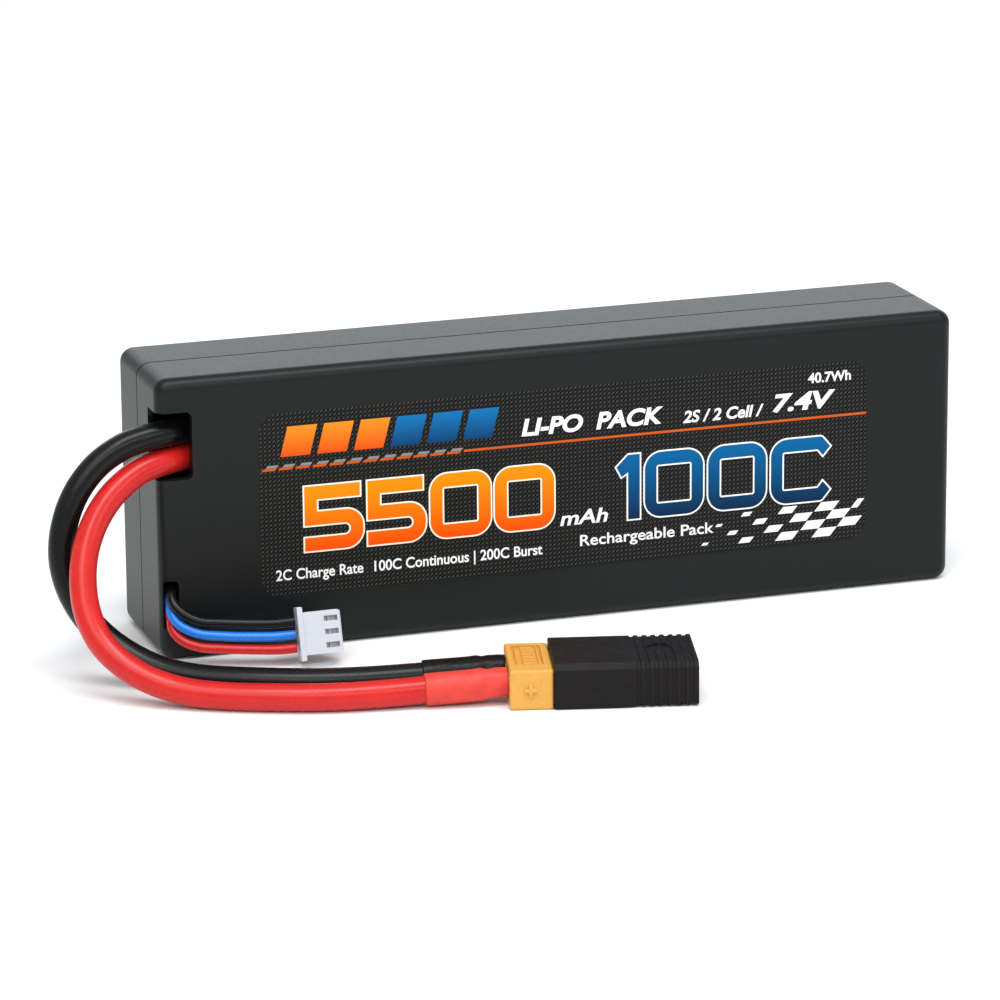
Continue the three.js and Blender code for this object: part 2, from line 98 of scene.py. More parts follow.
BALANCE_ROUTES = {
    "black": [
        (-56.9, -6, 12.3), (-60, -6, 12.3), (-63.4, -6.3, 12.4), (-65.9, -7.5, 12.3),
        (-67, -9.4, 12), (-67.2, -11.4, 11.4), (-67.3, -13.1, 10.2), (-66.2, -14.6, 8.7),
        (-63.7, -15.9, 7.4), (-60, -16.9, 7.05), (-55.6, -18.3, 6.9), (-51.6, -19.65, 6.95),
        (-48.9, -20.1, 7.1),
    ],
    "blue": [
        (-56.9, -6, 9.9), (-60, -6, 9.9), (-63.4, -6.3, 10), (-65.9, -7.5, 9.9),
        (-67, -9.4, 9.8), (-67.3, -11.5, 9.3), (-67.4, -13.3, 7.95), (-66.3, -14.8, 6.5),
        (-63.8, -16.2, 5.4), (-60.2, -17.4, 5), (-55.7, -18.9, 4.85), (-51.6, -20.25, 4.9),
        (-48.9, -20.75, 5.05),
    ],
    "red": [
        (-56.9, -6, 7.5), (-60, -6, 7.5), (-63.4, -6.3, 7.6), (-65.9, -7.5, 7.6),
        (-67, -9.4, 7.6), (-67.3, -11.6, 7.2), (-67.4, -13.6, 5.5), (-66.3, -15, 4.2),
        (-63.9, -16.5, 3.3), (-60.3, -17.8, 3), (-55.8, -19.4, 2.85), (-51.6, -20.9, 2.85),
        (-48.9, -21.4, 3),
    ],
}

# The power plug lies on the surface: its own X runs from its rear face to the adapter's outer end
SLIDE_AXIS = Vector(frame["joints"][0]["axis"])
PLUG_REAR = Vector((-22.1, -48, 0)) * MM
PLUG_PLACE = Matrix.Translation(PLUG_REAR) @ SLIDE_AXIS.to_track_quat("X", "Z").to_matrix().to_4x4()
PLUG_AXIS_Z = 3.3  # height of the sockets, in millimetres like the sizes below
FLOOR_CLEAR = 0.05
SOCKET_PITCH = 6.7
NOSE_HALF_WIDE, NOSE_HALF_TALL, NOSE_CHAMFER = 6.3, 2.6, 1.7

# The balance plug stands on its narrow edge, its top leaning back towards the case
BALANCE_REAR = Vector((-48.6, -20.8, 5.05)) * MM
BALANCE_TURN, BALANCE_LEAN, BALANCE_ROLL = (math.radians(angle) for angle in (-10, -17, -3.3))
BALANCE_PLACE = (
    Matrix.Translation(BALANCE_REAR) @ Matrix.Rotation(BALANCE_TURN, 4, "Z")
    @ Matrix.Rotation(BALANCE_LEAN, 4, "X") @ Matrix.Rotation(BALANCE_ROLL, 4, "Y")
)


def linear(code):
    """The linear colour of an sRGB hex value, with its alpha."""
    parts = [int(code[i : i + 2], 16) / 255 for i in (1, 3, 5)]
    return tuple(c / 12.92 if c <= 0.04045 else ((c + 0.055) / 1.055) ** 2.4 for c in parts) + (1.0,)


def mm(*values):
    """A point or a size given in millimetres."""
    return Vector(values) * MM


# Settings that a user would change


def length(name, description, default):
    """A length setting, its default given in millimetres."""
    return bpy.props.FloatProperty(
        name=name, description=description, default=default * MM, min=0.0, unit="LENGTH"
    )


def colour(name, description, code):
    """A colour setting, its default given as an sRGB hex value."""
    return bpy.props.FloatVectorProperty(
        name=name, description=description, default=linear(code), size=4, subtype="COLOR", min=0.0, max=1.0
    )


class PackCaseSettings(bpy.types.PropertyGroup):
    corner: length("Corner", "Radius of the case's corners, seen from the front", 2.3)
    fillet: length("Fillet", "Radius between the faces and the sides", 2.0)
    wall: length("Wall", "Thickness of the side walls", 2.0)
    face: length("Face", "Thickness of the two large faces", 1.8)
    edge: length("Edge", "Rounding of the cut edges", 0.12)
    plastic: colour("Case plastic", "Colour of the moulded case", "#0b0f10")


class PackLabelSettings(bpy.types.PropertyGroup):
    corner: length("Corner", "Radius of the label's corners", 3.4)
    thread: length("Thread", "Width of one woven tow in the film's pattern", 0.52)
    ink: length("Ink", "Thickness of a printed layer", 0.02)
    film: colour("Film", "Colour between the tows", "#050606")
    tow: colour("Tow", "Colour of a lit tow", "#444441")
    warm_top: colour("Warm top", "Top of the orange figures", "#ee8a06")
    warm_low: colour("Warm bottom", "Bottom of the orange figures", "#f84c02")
    cool_top: colour("Cool top", "Top of the blue figures", "#015b91")
    cool_low: colour("Cool bottom", "Bottom of the blue figures", "#022645")


class PackLeadSettings(bpy.types.PropertyGroup):
    power: length("Power lead", "Diameter of the two power leads", 4.4)
    balance: length("Balance lead", "Diameter of the three balance leads", 1.6)
    sleeve: length("Sleeve", "Radius of a heat-shrink sleeve", 2.58)
    neck: length("Neck", "Radius of a sleeve where it grips the cup", 2.36)
    red: colour("Red silicone", "Colour of the positive leads", "#c01c19")
    black: colour("Black silicone", "Colour of the negative leads", "#060708")
    blue: colour("Blue silicone", "Colour of the middle balance lead", "#0a74d8")


class PackPlugSettings(bpy.types.PropertyGroup):
    block: length("Block", "Length of the power plug's gripped part", 6.9)
    width: length("Width", "Width of the power plug", 14.8)
    height: length("Height", "Height of the power plug", 6.5)
    nose: length("Nose", "Length of the plug's nose", 7.8)
    nylon: colour("Yellow nylon", "Colour of the power plug", "#d69e4a")
    gold: colour("Gold", "Colour of the gold plating", "#d9a441")


class PackAdapterSettings(bpy.types.PropertyGroup):
    long: length("Length", "Length of the adapter", 22.6)
    width: length("Width", "Width of the adapter", 15.6)
    height: length("Height", "Height of the adapter", 7.4)
    chamfer: length("Chamfer", "Chamfer along its top edges", 0.95)
    pitch: length("Rib pitch", "Distance from one grip rib to the next", 1.4)
    rib: length("Rib", "Width of a grip rib", 0.75)
    proud: length("Rib height", "Height of a grip rib", 0.2)
    nylon: colour("Black nylon", "Colour of the adapter", "#1f1d1e")
    brass: colour("Brass", "Colour of the blades", "#c9a253")


class PackBalanceSettings(bpy.types.PropertyGroup):
    long: length("Length", "Length of the balance plug", 7.0)
    height: length("Height", "Height of the balance plug's body", 6.9)
    thick: length("Thickness", "Thickness of the balance plug's body", 4.6)
    pitch: length("Pitch", "Distance from one contact to the next", 2.15)
    nylon: colour("White nylon", "Colour of the balance plug", "#c8ccd4")
    tin: colour("Tin", "Colour of the tinned contacts", "#b9babd")


class PackCellSettings(bpy.types.PropertyGroup):
    round: length("Rounding", "Radius of the pouches' long edges", 1.2)
    foil: colour("Pouch foil", "Colour of the pouch film", "#b9bcc0")
    foam: colour("Foam", "Colour of the foam pads", "#3a3b3d")
    laminate: colour("Laminate", "Colour of the tab board", "#1d5b34")


class PackStageSettings(bpy.types.PropertyGroup):
    floor: colour("Floor", "Colour of the floor", "#f4f4f4")
    light: bpy.props.FloatProperty(
        name="Light", description="Strength of the studio light", default=1.0, min=0.0
    )


# Working by hand, in edit mode


def leave_edit():
    """Go back to object mode, with nothing selected."""
    if bpy.context.object and bpy.context.object.mode != "OBJECT":
        bpy.ops.object.mode_set(mode="OBJECT")
    bpy.ops.object.select_all(action="DESELECT")


def take(piece, mode="OBJECT"):
    """Make the piece the only one selected, in that mode."""
    leave_edit()
    piece.select_set(True)
    bpy.context.view_layer.objects.active = piece
    bpy.ops.object.mode_set(mode=mode)
    return piece


def box(name, low, high):
    """A cube primitive between two corners, left in edit mode."""
    leave_edit()
    low, high = Vector(low), Vector(high)
    bpy.ops.mesh.primitive_cube_add(size=1.0, location=(low + high) / 2, scale=high - low)
    made = bpy.context.object
    made.name = made.data.name = name
    bpy.ops.object.transform_apply()
    return take(made, "EDIT")


def rod(name, start, axis, reach, radius, sides=40):
    """A cylinder primitive from a start point along an axis, left in edit mode."""
    leave_edit()
    axis = Vector(axis).normalized()
    turn = axis.to_track_quat("Z", "Y").to_euler()
    middle = Vector(start) + axis * reach / 2
    bpy.ops.mesh.primitive_cylinder_add(
        vertices=sides, radius=radius, depth=reach, location=middle, rotation=turn
    )
    made = bpy.context.object
    made.name = made.data.name = name
    bpy.ops.object.transform_apply()
    return take(made, "EDIT")


def centre(item):
    """The middle of a vertex, an edge or a face."""
    verts = getattr(item, "verts", [item])
    return sum((v.co for v in verts), Vector()) / len(verts)


def runs(edge, axis):
    """Whether an edge runs along X, Y or Z."""
    step = edge.verts[1].co - edge.verts[0].co
    return abs(step[axis]) > 0.999 * step.length


def at(value, target, within=0.01 * MM):
    """Whether a place is at another, to a hundredth of a millimetre."""
    return abs(value - target) < within


def pick(kind, test):
    """Select the vertices, edges or faces that pass the test."""
    piece = bpy.context.object
    bpy.ops.mesh.select_mode(type=kind)
    bpy.ops.mesh.select_all(action="DESELECT")
    mesh = bmesh.from_edit_mesh(piece.data)
    items = {"VERT": mesh.verts, "EDGE": mesh.edges, "FACE": mesh.faces}[kind]
    chosen = [item for item in items if test(item)]
    if not chosen:
        raise RuntimeError(f"nothing to shape on {piece.name}")
    for item in chosen:
        item.select_set(True)
    mesh.select_flush_mode()
    bmesh.update_edit_mesh(piece.data)


def facing(axis, sign, place=None):
    """A test for faces that look along an axis, at a place on it if one is given."""

    def test(face):
        level = place is None or at(centre(face)[axis], place)
        return face.normal[axis] * sign > 0.99 and level

    return test


def round_edges(offset, segments):
    """Round the selected edges, or chamfer them if there is one segment."""
    bpy.ops.mesh.bevel(
        offset_type="OFFSET", offset=offset, segments=segments, affect="EDGES", clamp_overlap=True
    )


def round_along(axis, offset, segments):
    """Round every edge that runs along an axis, such as the corners of a block seen from one side."""
    pick("EDGE", lambda edge: runs(edge, axis))
    round_edges(offset, segments)


def round_rim(axis, place, offset, segments):
    """Round the edges that lie at a place on an axis, such as the rim of a block's end."""
    pick("EDGE", lambda edge: all(at(v.co[axis], place) for v in edge.verts))
    round_edges(offset, segments)


def inset(thickness):
    """Draw the selected faces in by a thickness."""
    bpy.ops.mesh.inset(thickness=thickness, depth=0.0, use_even_offset=True)


def extrude(x=0.0, y=0.0, z=0.0):
    """Draw the selection out."""
    bpy.ops.mesh.extrude_region_move(TRANSFORM_OT_translate={"value": (x, y, z)})


def weld(gap):
    """Merge all points that are closer than the gap."""
    bpy.ops.mesh.select_all(action="SELECT")
    bpy.ops.mesh.remove_doubles(threshold=gap)


def slice_at(axis, place):
    """Cut the whole mesh with a plane across an axis, keeping both sides."""
    point, normal = Vector(), Vector()
    point[axis], normal[axis] = place, 1.0
    bpy.ops.mesh.select_all(action="SELECT")
    bpy.ops.mesh.bisect(plane_co=point, plane_no=normal)


def profile_line(points):
    """A line of edges through the points, drawn out from one vertex, left selected in edit mode."""
    leave_edit()
    bpy.ops.mesh.primitive_plane_add(size=MM, location=points[0])
    bpy.ops.object.mode_set(mode="EDIT")
    bpy.ops.mesh.select_mode(type="VERT")
    bpy.ops.mesh.select_all(action="SELECT")
    bpy.ops.mesh.merge(type="CENTER")
    for here, there in zip(points, points[1:]):
        extrude(*(Vector(there) - Vector(here)))
    bpy.ops.mesh.select_all(action="SELECT")


def turned(name, profile, start, axis=(1, 0, 0), steps=48):
    """A body of revolution from (distance, radius) pairs in millimetres along an axis."""
    axis = Vector(axis).normalized()
    side = axis.cross(Vector((0, 1, 0))).normalized()
    start = Vector(start)
    profile_line([start + (axis * along + side * radius) * MM for along, radius in profile])
    made = bpy.context.object
    made.name = made.data.name = name
    bpy.ops.mesh.spin(steps=steps, angle=TAU, center=start, axis=axis)
    weld(0.0005 * MM)
    bpy.ops.mesh.normals_make_consistent(inside=False)
    take(made)
    bpy.ops.object.transform_apply()
    if not made.data.polygons:
        raise RuntimeError(f"nothing was turned for {name}")
    return made


def change(piece, kind, **settings):
    """Add a modifier with its settings, and apply it at once."""
    take(piece)
    made = piece.modifiers.new(kind.title(), kind)
    for name, value in settings.items():
        setattr(made, name, value)
    bpy.ops.object.modifier_apply(modifier=made.name)
    return piece


def combine(body, tool, operation="DIFFERENCE"):
    """Cut the tool out of the body, or add it, and put the tool away."""
    change(body, "BOOLEAN", operation=operation, solver="EXACT", object=tool)
    bpy.data.objects.remove(tool, do_unlink=True)
    return body


def join(name, pieces):
    """Several objects made one."""
    leave_edit()
    for piece in pieces:
        piece.select_set(True)
    bpy.context.view_layer.objects.active = pieces[0]
    bpy.ops.object.join()
    pieces[0].name = pieces[0].data.name = name
    return pieces[0]


def soften(piece, width, segments=2, angle=35):
    """Round every edge that is sharper than an angle."""
    return change(
        piece, "BEVEL", width=width, segments=segments, limit_method="ANGLE",
        angle_limit=math.radians(angle), use_clamp_overlap=True,
    )


def smooth(piece, angle=32):
    """Smooth shading that keeps large faces flat."""
    take(piece)
    bpy.ops.object.shade_smooth_by_angle(angle=math.radians(angle))
    return change(piece, "WEIGHTED_NORMAL", keep_sharp=True)


def settle(piece, place):
    """Move a piece from its own frame to its place, and put the place in its mesh."""
    take(piece)
    piece.matrix_world = place @ piece.matrix_world
    bpy.ops.object.transform_apply()
    return piece


def hand_over(piece, look, stands_for=(), body=PACK_BODY):
    """Give a finished piece its material and its body, and hide the CAD nodes that it stands for."""
    leave_edit()
    piece.data.materials.clear()
    piece.data.materials.append(look)
    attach(piece, body)
    if stands_for:
        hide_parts(*stands_for)
    return piece


# Materials


def add(tree, kind, values=None, links=None, **settings):
    """Add a node with its settings, its input values and the sockets linked to its inputs."""
    made = tree.nodes.new(kind)
    for name, value in settings.items():
        setattr(made, name, value)
    for name, value in (values or {}).items():
        made.inputs[name].default_value = value
    for name, socket in (links or {}).items():
        tree.links.new(socket, made.inputs[name])
    return made


def base_material(name, tint, roughness, metallic=0.0, **sockets):
    """A material with its shader's own sockets set; also its node tree, shader and object coordinates."""
    made = bpy.data.materials.new(name)
    made.use_nodes = True
    tree = made.node_tree
    shader = tree.nodes["Principled BSDF"]
    shader.inputs["Base Color"].default_value = tint
    shader.inputs["Roughness"].default_value = roughness
    shader.inputs["Metallic"].default_value = metallic
    for socket, value in sockets.items():
        shader.inputs[socket.replace("_", " ")].default_value = value
    place = add(tree, "ShaderNodeTexCoord").outputs["Object"]
    return made, tree, shader, place


def vary_colour(tree, shader, place, size, low, high):
    """Blotches of about that size, in millimetres, between two colours."""
    spots = add(tree, "ShaderNodeTexNoise", {"Scale": 1 / (size * MM), "Detail": 3.0}, {"Vector": place})
    ramp = add(tree, "ShaderNodeValToRGB", links={"Fac": spots.outputs["Fac"]})
    for stop, position, tone in zip(ramp.color_ramp.elements, (0.3, 0.7), (low, high)):
        stop.position, stop.color = position, tone
    tree.links.new(ramp.outputs["Color"], shader.inputs["Base Color"])


def vary_roughness(tree, shader, place, size, low, high):
    """Patches of about that size, in millimetres, between two roughnesses."""
    spots = add(tree, "ShaderNodeTexNoise", {"Scale": 1 / (size * MM), "Detail": 4.0}, {"Vector": place})
    span = add(
        tree, "ShaderNodeMapRange", {"From Min": 0.35, "From Max": 0.65, "To Min": low, "To Max": high},
        {"Value": spots.outputs["Fac"]},
    )
    tree.links.new(span.outputs["Result"], shader.inputs["Roughness"])


def grain(tree, shader, place, size, depth, detail=2.0):
    """A fine moulded or spark-eroded grain: bumps of that size and depth, in millimetres."""
    spots = add(tree, "ShaderNodeTexNoise", {"Scale": 1 / (size * MM), "Detail": detail}, {"Vector": place})
    bump = add(
        tree, "ShaderNodeBump", {"Strength": 1.0, "Distance": depth * MM}, {"Height": spots.outputs["Fac"]}
    )
    tree.links.new(bump.outputs["Normal"], shader.inputs["Normal"])


def shade(tint, factor):
    """A lighter or darker tint."""
    return tuple(min(1.0, c * factor) for c in tint[:3]) + (1.0,)


def surface(name, tint, roughness, blotches, patches=None, bumps=None, **sockets):
    """A material that varies all over.

    Blotches are a size and two shades, patches a size and two roughnesses, and bumps a size, a depth and
    how many finer layers they have.
    """
    made, tree, shader, place = base_material(name, tint, roughness, **sockets)
    size, dark, light = blotches
    vary_colour(tree, shader, place, size, shade(tint, dark), shade(tint, light))
    if patches:
        vary_roughness(tree, shader, place, *patches)
    if bumps:
        grain(tree, shader, place, *bumps)
    return made


def moulded_abs(tint):
    """Black ABS, moulded in an etched tool: dark, even, with a soft sheen at flat angles."""
    # the etched grain is about 0.1 mm, drawn at 0.3 mm so that it shows
    return surface(
        "moulded_black_abs", tint, 0.4, (9, 0.94, 1.06), (0.6, 0.38, 0.42), (0.3, 0.012),
        Specular_IOR_Level=0.24,
    )


def woven_film(tint, tow, thread):
    """Printed vinyl film with a carbon twill pattern: slanted tows, each lit along its middle."""
    made, tree, shader, place = base_material("woven_pattern_film", tint, 0.42, Specular_IOR_Level=0.07)
    turn = add(
        tree, "ShaderNodeMapping",
        {"Rotation": (0.0, math.radians(45), 0.0), "Scale": (1 / thread, 1 / thread, 1 / thread)},
        {"Vector": place},
    )
    parts = add(tree, "ShaderNodeSeparateXYZ", links={"Vector": turn.outputs["Vector"]})
    across, up = parts.outputs["X"], parts.outputs["Z"]
    tows = []
    for socket in (across, up):
        part = add(tree, "ShaderNodeMath", links={0: socket}, operation="FRACT")
        ridge = add(tree, "ShaderNodeMath", {1: math.pi}, {0: part.outputs[0]}, operation="MULTIPLY")
        tows.append(add(tree, "ShaderNodeMath", links={0: ridge.outputs[0]}, operation="SINE").outputs[0])
    flat = add(tree, "ShaderNodeCombineXYZ", {"Z": 0.5}, {"X": across, "Y": up})
    over = add(tree, "ShaderNodeTexChecker", {"Scale": 1.0}, {"Vector": flat.outputs["Vector"]})
    height = add(
        tree, "ShaderNodeMix", links={0: over.outputs["Fac"], 2: tows[0], 3: tows[1]}, data_type="FLOAT"
    )
    lit = add(
        tree, "ShaderNodeMapRange", {"From Min": 0.55, "From Max": 1.0, "To Min": 0.0, "To Max": 1.0},
        {"Value": height.outputs[0]},
    )
    half = add(tree, "ShaderNodeMath", {1: 0.35}, {0: lit.outputs["Result"]}, operation="MULTIPLY")
    pattern = add(
        tree, "ShaderNodeMix", links={0: over.outputs["Fac"], 2: half.outputs[0], 3: lit.outputs["Result"]},
        data_type="FLOAT",
    )
    mixed = add(tree, "ShaderNodeMix", {6: tint, 7: tow}, {0: pattern.outputs[0]}, data_type="RGBA")
    tree.links.new(mixed.outputs[2], shader.inputs["Base Color"])
    bump = add(
        tree, "ShaderNodeBump", {"Strength": 0.5, "Distance": 0.02 * MM}, {"Height": height.outputs[0]}
    )
    tree.links.new(bump.outputs["Normal"], shader.inputs["Normal"])
    return made


def printed_ink(name, top, low, top_height, low_height):
    """Screen-printed ink that blends between two colours at two heights, in millimetres."""
    made, tree, shader, place = base_material(name, top, 0.38, Specular_IOR_Level=0.08)
    parts = add(tree, "ShaderNodeSeparateXYZ", links={"Vector": place})
    rise = add(
        tree, "ShaderNodeMapRange", {"From Min": low_height * MM, "From Max": top_height * MM},
        {"Value": parts.outputs["Z"]},
    )
    mixed = add(tree, "ShaderNodeMix", {6: low, 7: top}, {0: rise.outputs["Result"]}, data_type="RGBA")
    tree.links.new(mixed.outputs[2], shader.inputs["Base Color"])
    grain(tree, shader, place, 0.25, 0.003)
    return made


def silicone(name, tint, gloss):
    """Silicone rubber insulation, extruded: soft, satin, with faint dust and a soft rim."""
    return surface(
        name, tint, 0.28, (6, 0.93, 1.07), (1.5, 0.24, 0.3), (0.8, 0.003),
        Specular_IOR_Level=gloss, Sheen_Weight=0.02, Sheen_Roughness=0.5,
    )


def shrunk_polyolefin(name, tint, roughness, gloss):
    """Heat-shrink polyolefin: thinner and duller than silicone, with fine shrink lines."""
    return surface(
        name, tint, roughness, (2.5, 0.86, 1.1), (1.2, roughness - 0.1, roughness + 0.08),
        (0.45, 0.045, 4.0), Specular_IOR_Level=gloss,
    )


def moulded_nylon(name, tint, roughness, gloss, size, depth):
    """Glass-filled nylon, moulded: an even tint with an eroded, slightly dusty grain."""
    return surface(
        name, tint, roughness, (0.5, 0.95, 1.05), (2, roughness - 0.06, roughness + 0.06),
        (size, depth, 3.0), Specular_IOR_Level=gloss,
    )


def white_nylon(tint):
    """Unfilled nylon, moulded: light passes a little way into it."""
    return surface(
        "moulded_white_nylon", tint, 0.34, (2, 0.97, 1.02), bumps=(0.35, 0.006), Subsurface_Weight=0.15,
        Subsurface_Scale=0.6 * MM, Subsurface_Radius=(1.0, 1.0, 1.0),
    )


def metal(name, tint, roughness, size, depth):
    """A bare or plated metal: tinted reflections, broken by fine turning or rolling marks."""
    return surface(
        name, tint, roughness, (1.5, 0.86, 1.06), (0.8, roughness - 0.06, roughness + 0.1),
        (size, depth, 4.0), metallic=1.0,
    )


def crinkled_foil(tint):
    """Aluminium-laminated pouch film: bright, softly crinkled."""
    made, tree, shader, place = base_material("crinkled_pouch_film", tint, 0.32, metallic=0.85)
    vary_roughness(tree, shader, place, 5, 0.26, 0.42)
    creases = add(
        tree, "ShaderNodeTexVoronoi", {"Scale": 1 / (9 * MM)}, {"Vector": place}, feature="SMOOTH_F1"
    )
    bump = add(
        tree, "ShaderNodeBump", {"Strength": 0.4, "Distance": 0.3 * MM},
        {"Height": creases.outputs["Distance"]},
    )
    tree.links.new(bump.outputs["Normal"], shader.inputs["Normal"])
    return made


def open_foam(tint):
    """Polyurethane foam, cut: matt, with small open cells, each painted darker in its pit as painted shade
    and lighter on its rim as painted light.
    """
    made, tree, shader, place = base_material("cut_polyurethane_foam", tint, 0.95, Specular_IOR_Level=0.2)
    cells = add(tree, "ShaderNodeTexVoronoi", {"Scale": 1 / (0.9 * MM)}, {"Vector": place})
    # painted shade and painted light: the colour darkens to 0.45 of the tint in each cell's pit, where the
    # bump is lowest, and lightens to 1.25 of it on the rims
    ramp = add(tree, "ShaderNodeValToRGB", links={"Fac": cells.outputs["Distance"]})
    for stop, factor in zip(ramp.color_ramp.elements, (0.45, 1.25)):
        stop.color = shade(tint, factor)
    tree.links.new(ramp.outputs["Color"], shader.inputs["Base Color"])
    bump = add(
        tree, "ShaderNodeBump", {"Strength": 0.8, "Distance": 0.3 * MM},
        {"Height": cells.outputs["Distance"]},
    )
    tree.links.new(bump.outputs["Normal"], shader.inputs["Normal"])
    return made


def acrylic_tape(tint):
    """Double-sided acrylic tape on a yellow liner: smooth with faint creases."""
    return surface("acrylic_tape", tint, 0.5, (7, 0.85, 1.05), bumps=(2.5, 0.05))


def glass_laminate(tint):
    """Glass-epoxy board under a green solder mask: the weave shows faintly through."""
    made, tree, shader, place = base_material("glass_epoxy_laminate", tint, 0.3, Coat_Weight=0.3)
    weave = add(
        tree, "ShaderNodeTexWave", {"Scale": 1 / (3 * MM), "Distortion": 1.0}, {"Vector": place},
        bands_direction="Z",
    )
    mixed = add(
        tree, "ShaderNodeMix", {6: shade(tint, 0.85), 7: shade(tint, 1.15)}, {0: weave.outputs["Fac"]},
        data_type="RGBA",
    )
    tree.links.new(mixed.outputs[2], shader.inputs["Base Color"])
    return made


def painted_floor(tint):
    """Matt painted sweep, rolled: pale with a barely visible mottling."""
    return surface("matt_painted_sweep", tint, 0.85, (60, 0.985, 1.0), Specular_IOR_Level=0.1)


# Stage


class PACK_OT_stage(bpy.types.Operator):
    """Set up the camera, the pale floor and the soft studio light"""

    bl_idname = "object.pack_stage"
    bl_label = "Camera, Floor and Light"

    def execute(self, context):
        settings = context.scene.pack_stage
        self.add_camera(context.scene)
        leave_edit()
        bpy.ops.mesh.primitive_plane_add(size=6.0, location=(0.0, 0.0, 0.0))
        floor = bpy.context.object
        floor.name = "floor"
        floor.data.materials.append(painted_floor(settings.floor))
        sky = bpy.data.worlds.new("studio")
        sky.use_nodes = True
        background = sky.node_tree.nodes["Background"]
        background.inputs["Color"].default_value = linear("#f4f6f8")
        background.inputs["Strength"].default_value = 0.75 * settings.light
        context.scene.world = sky
        neutral, cool = (1.0, 1.0, 1.0), (0.87, 0.96, 1.0)
        # each light's place, the point that it looks at, its size, its power and its colour
        for name, place, target, size, power, tint in [
            ("key_softbox", (-0.45, -0.55, 0.75), (-0.02, -0.02, 0.02), (0.5, 0.5), 2.2, neutral),
            ("top_softbox", (0.0, -0.3, 0.9), (-0.02, -0.04, 0.0), (0.7, 0.3), 5.5, neutral),
            ("rim_softbox", (0.45, 1.25, 0.5), (0.0, 0.0, 0.03), (1.6, 0.5), 4.2, cool),
            ("edge_strip", (0.05, -0.6, 0.42), (0.0, -0.012, 0.045), (0.9, 0.05), 1.2, neutral),
        ]:
            leave_edit()
            bpy.ops.object.light_add(type="AREA", location=place)
            light = bpy.context.object
            light.name = name
            light.rotation_euler = (Vector(target) - Vector(place)).to_track_quat("-Z", "Y").to_euler()
            light.data.shape = "RECTANGLE"
            light.data.size, light.data.size_y = size
            light.data.energy = power * settings.light
            light.data.color = tint
        context.scene.view_settings.view_transform = "Standard"
        return {"FINISHED"}

    def add_camera(self, scene):
        """A long lens, a little to the left and above, looking down on the labelled face."""
        leave_edit()
        bpy.ops.object.camera_add(location=mm(-261.06, -771.48, 249.5))
        camera = bpy.context.object
        camera.name = "camera"
        yaw, pitch, roll = (math.radians(angle) for angle in (18.169, 15.516, -0.467))
        level = Matrix.Rotation(-yaw, 3, "Z") @ Matrix.Rotation(math.pi / 2 - pitch, 3, "X")
        camera.rotation_euler = (level @ Matrix.Rotation(roll, 3, "Z")).to_euler()
        camera.data.sensor_width, camera.data.lens = 36.0, 182.05
        camera.data.shift_x, camera.data.shift_y = 0.0042, -0.0344
        camera.data.clip_start = 0.05
        scene.camera = camera


# Leads


def catmull_handles(points):
    """Handles that make a Bezier curve the centripetal Catmull-Rom curve through the points."""
    longer = [2 * points[0] - points[1], *points, 2 * points[-1] - points[-2]]
    handles = []
    for before, here, after in zip(longer, longer[1:], longer[2:]):
        past, coming = math.sqrt((here - before).length), math.sqrt((after - here).length)
        slope = (here - before) / past - (after - before) / (past + coming) + (after - here) / coming
        handles.append((here - slope * past / 3, here + slope * coming / 3))
    return handles


def lead(name, route, diameter, look, node):
    """A round insulated wire along its route, as one open curve."""
    leave_edit()
    bpy.ops.curve.primitive_bezier_curve_add(location=(0.0, 0.0, 0.0))
    made = bpy.context.object
    made.name = made.data.name = name
    points = [mm(*point) for point in route]
    spline = made.data.splines[0]
    spline.bezier_points.add(len(points) - len(spline.bezier_points))
    for knot, point, (left, right) in zip(spline.bezier_points, points, catmull_handles(points)):
        knot.handle_left_type = knot.handle_right_type = "FREE"
        knot.co, knot.handle_left, knot.handle_right = point, left, right
        knot.radius = 1.0
    made.data.dimensions = "3D"
    made.data.resolution_u = made.data.render_resolution_u = made.data.bevel_resolution = 8
    made.data.bevel_depth = diameter / 2
    made.data.use_fill_caps = True
    hand_over(made, look, [node])


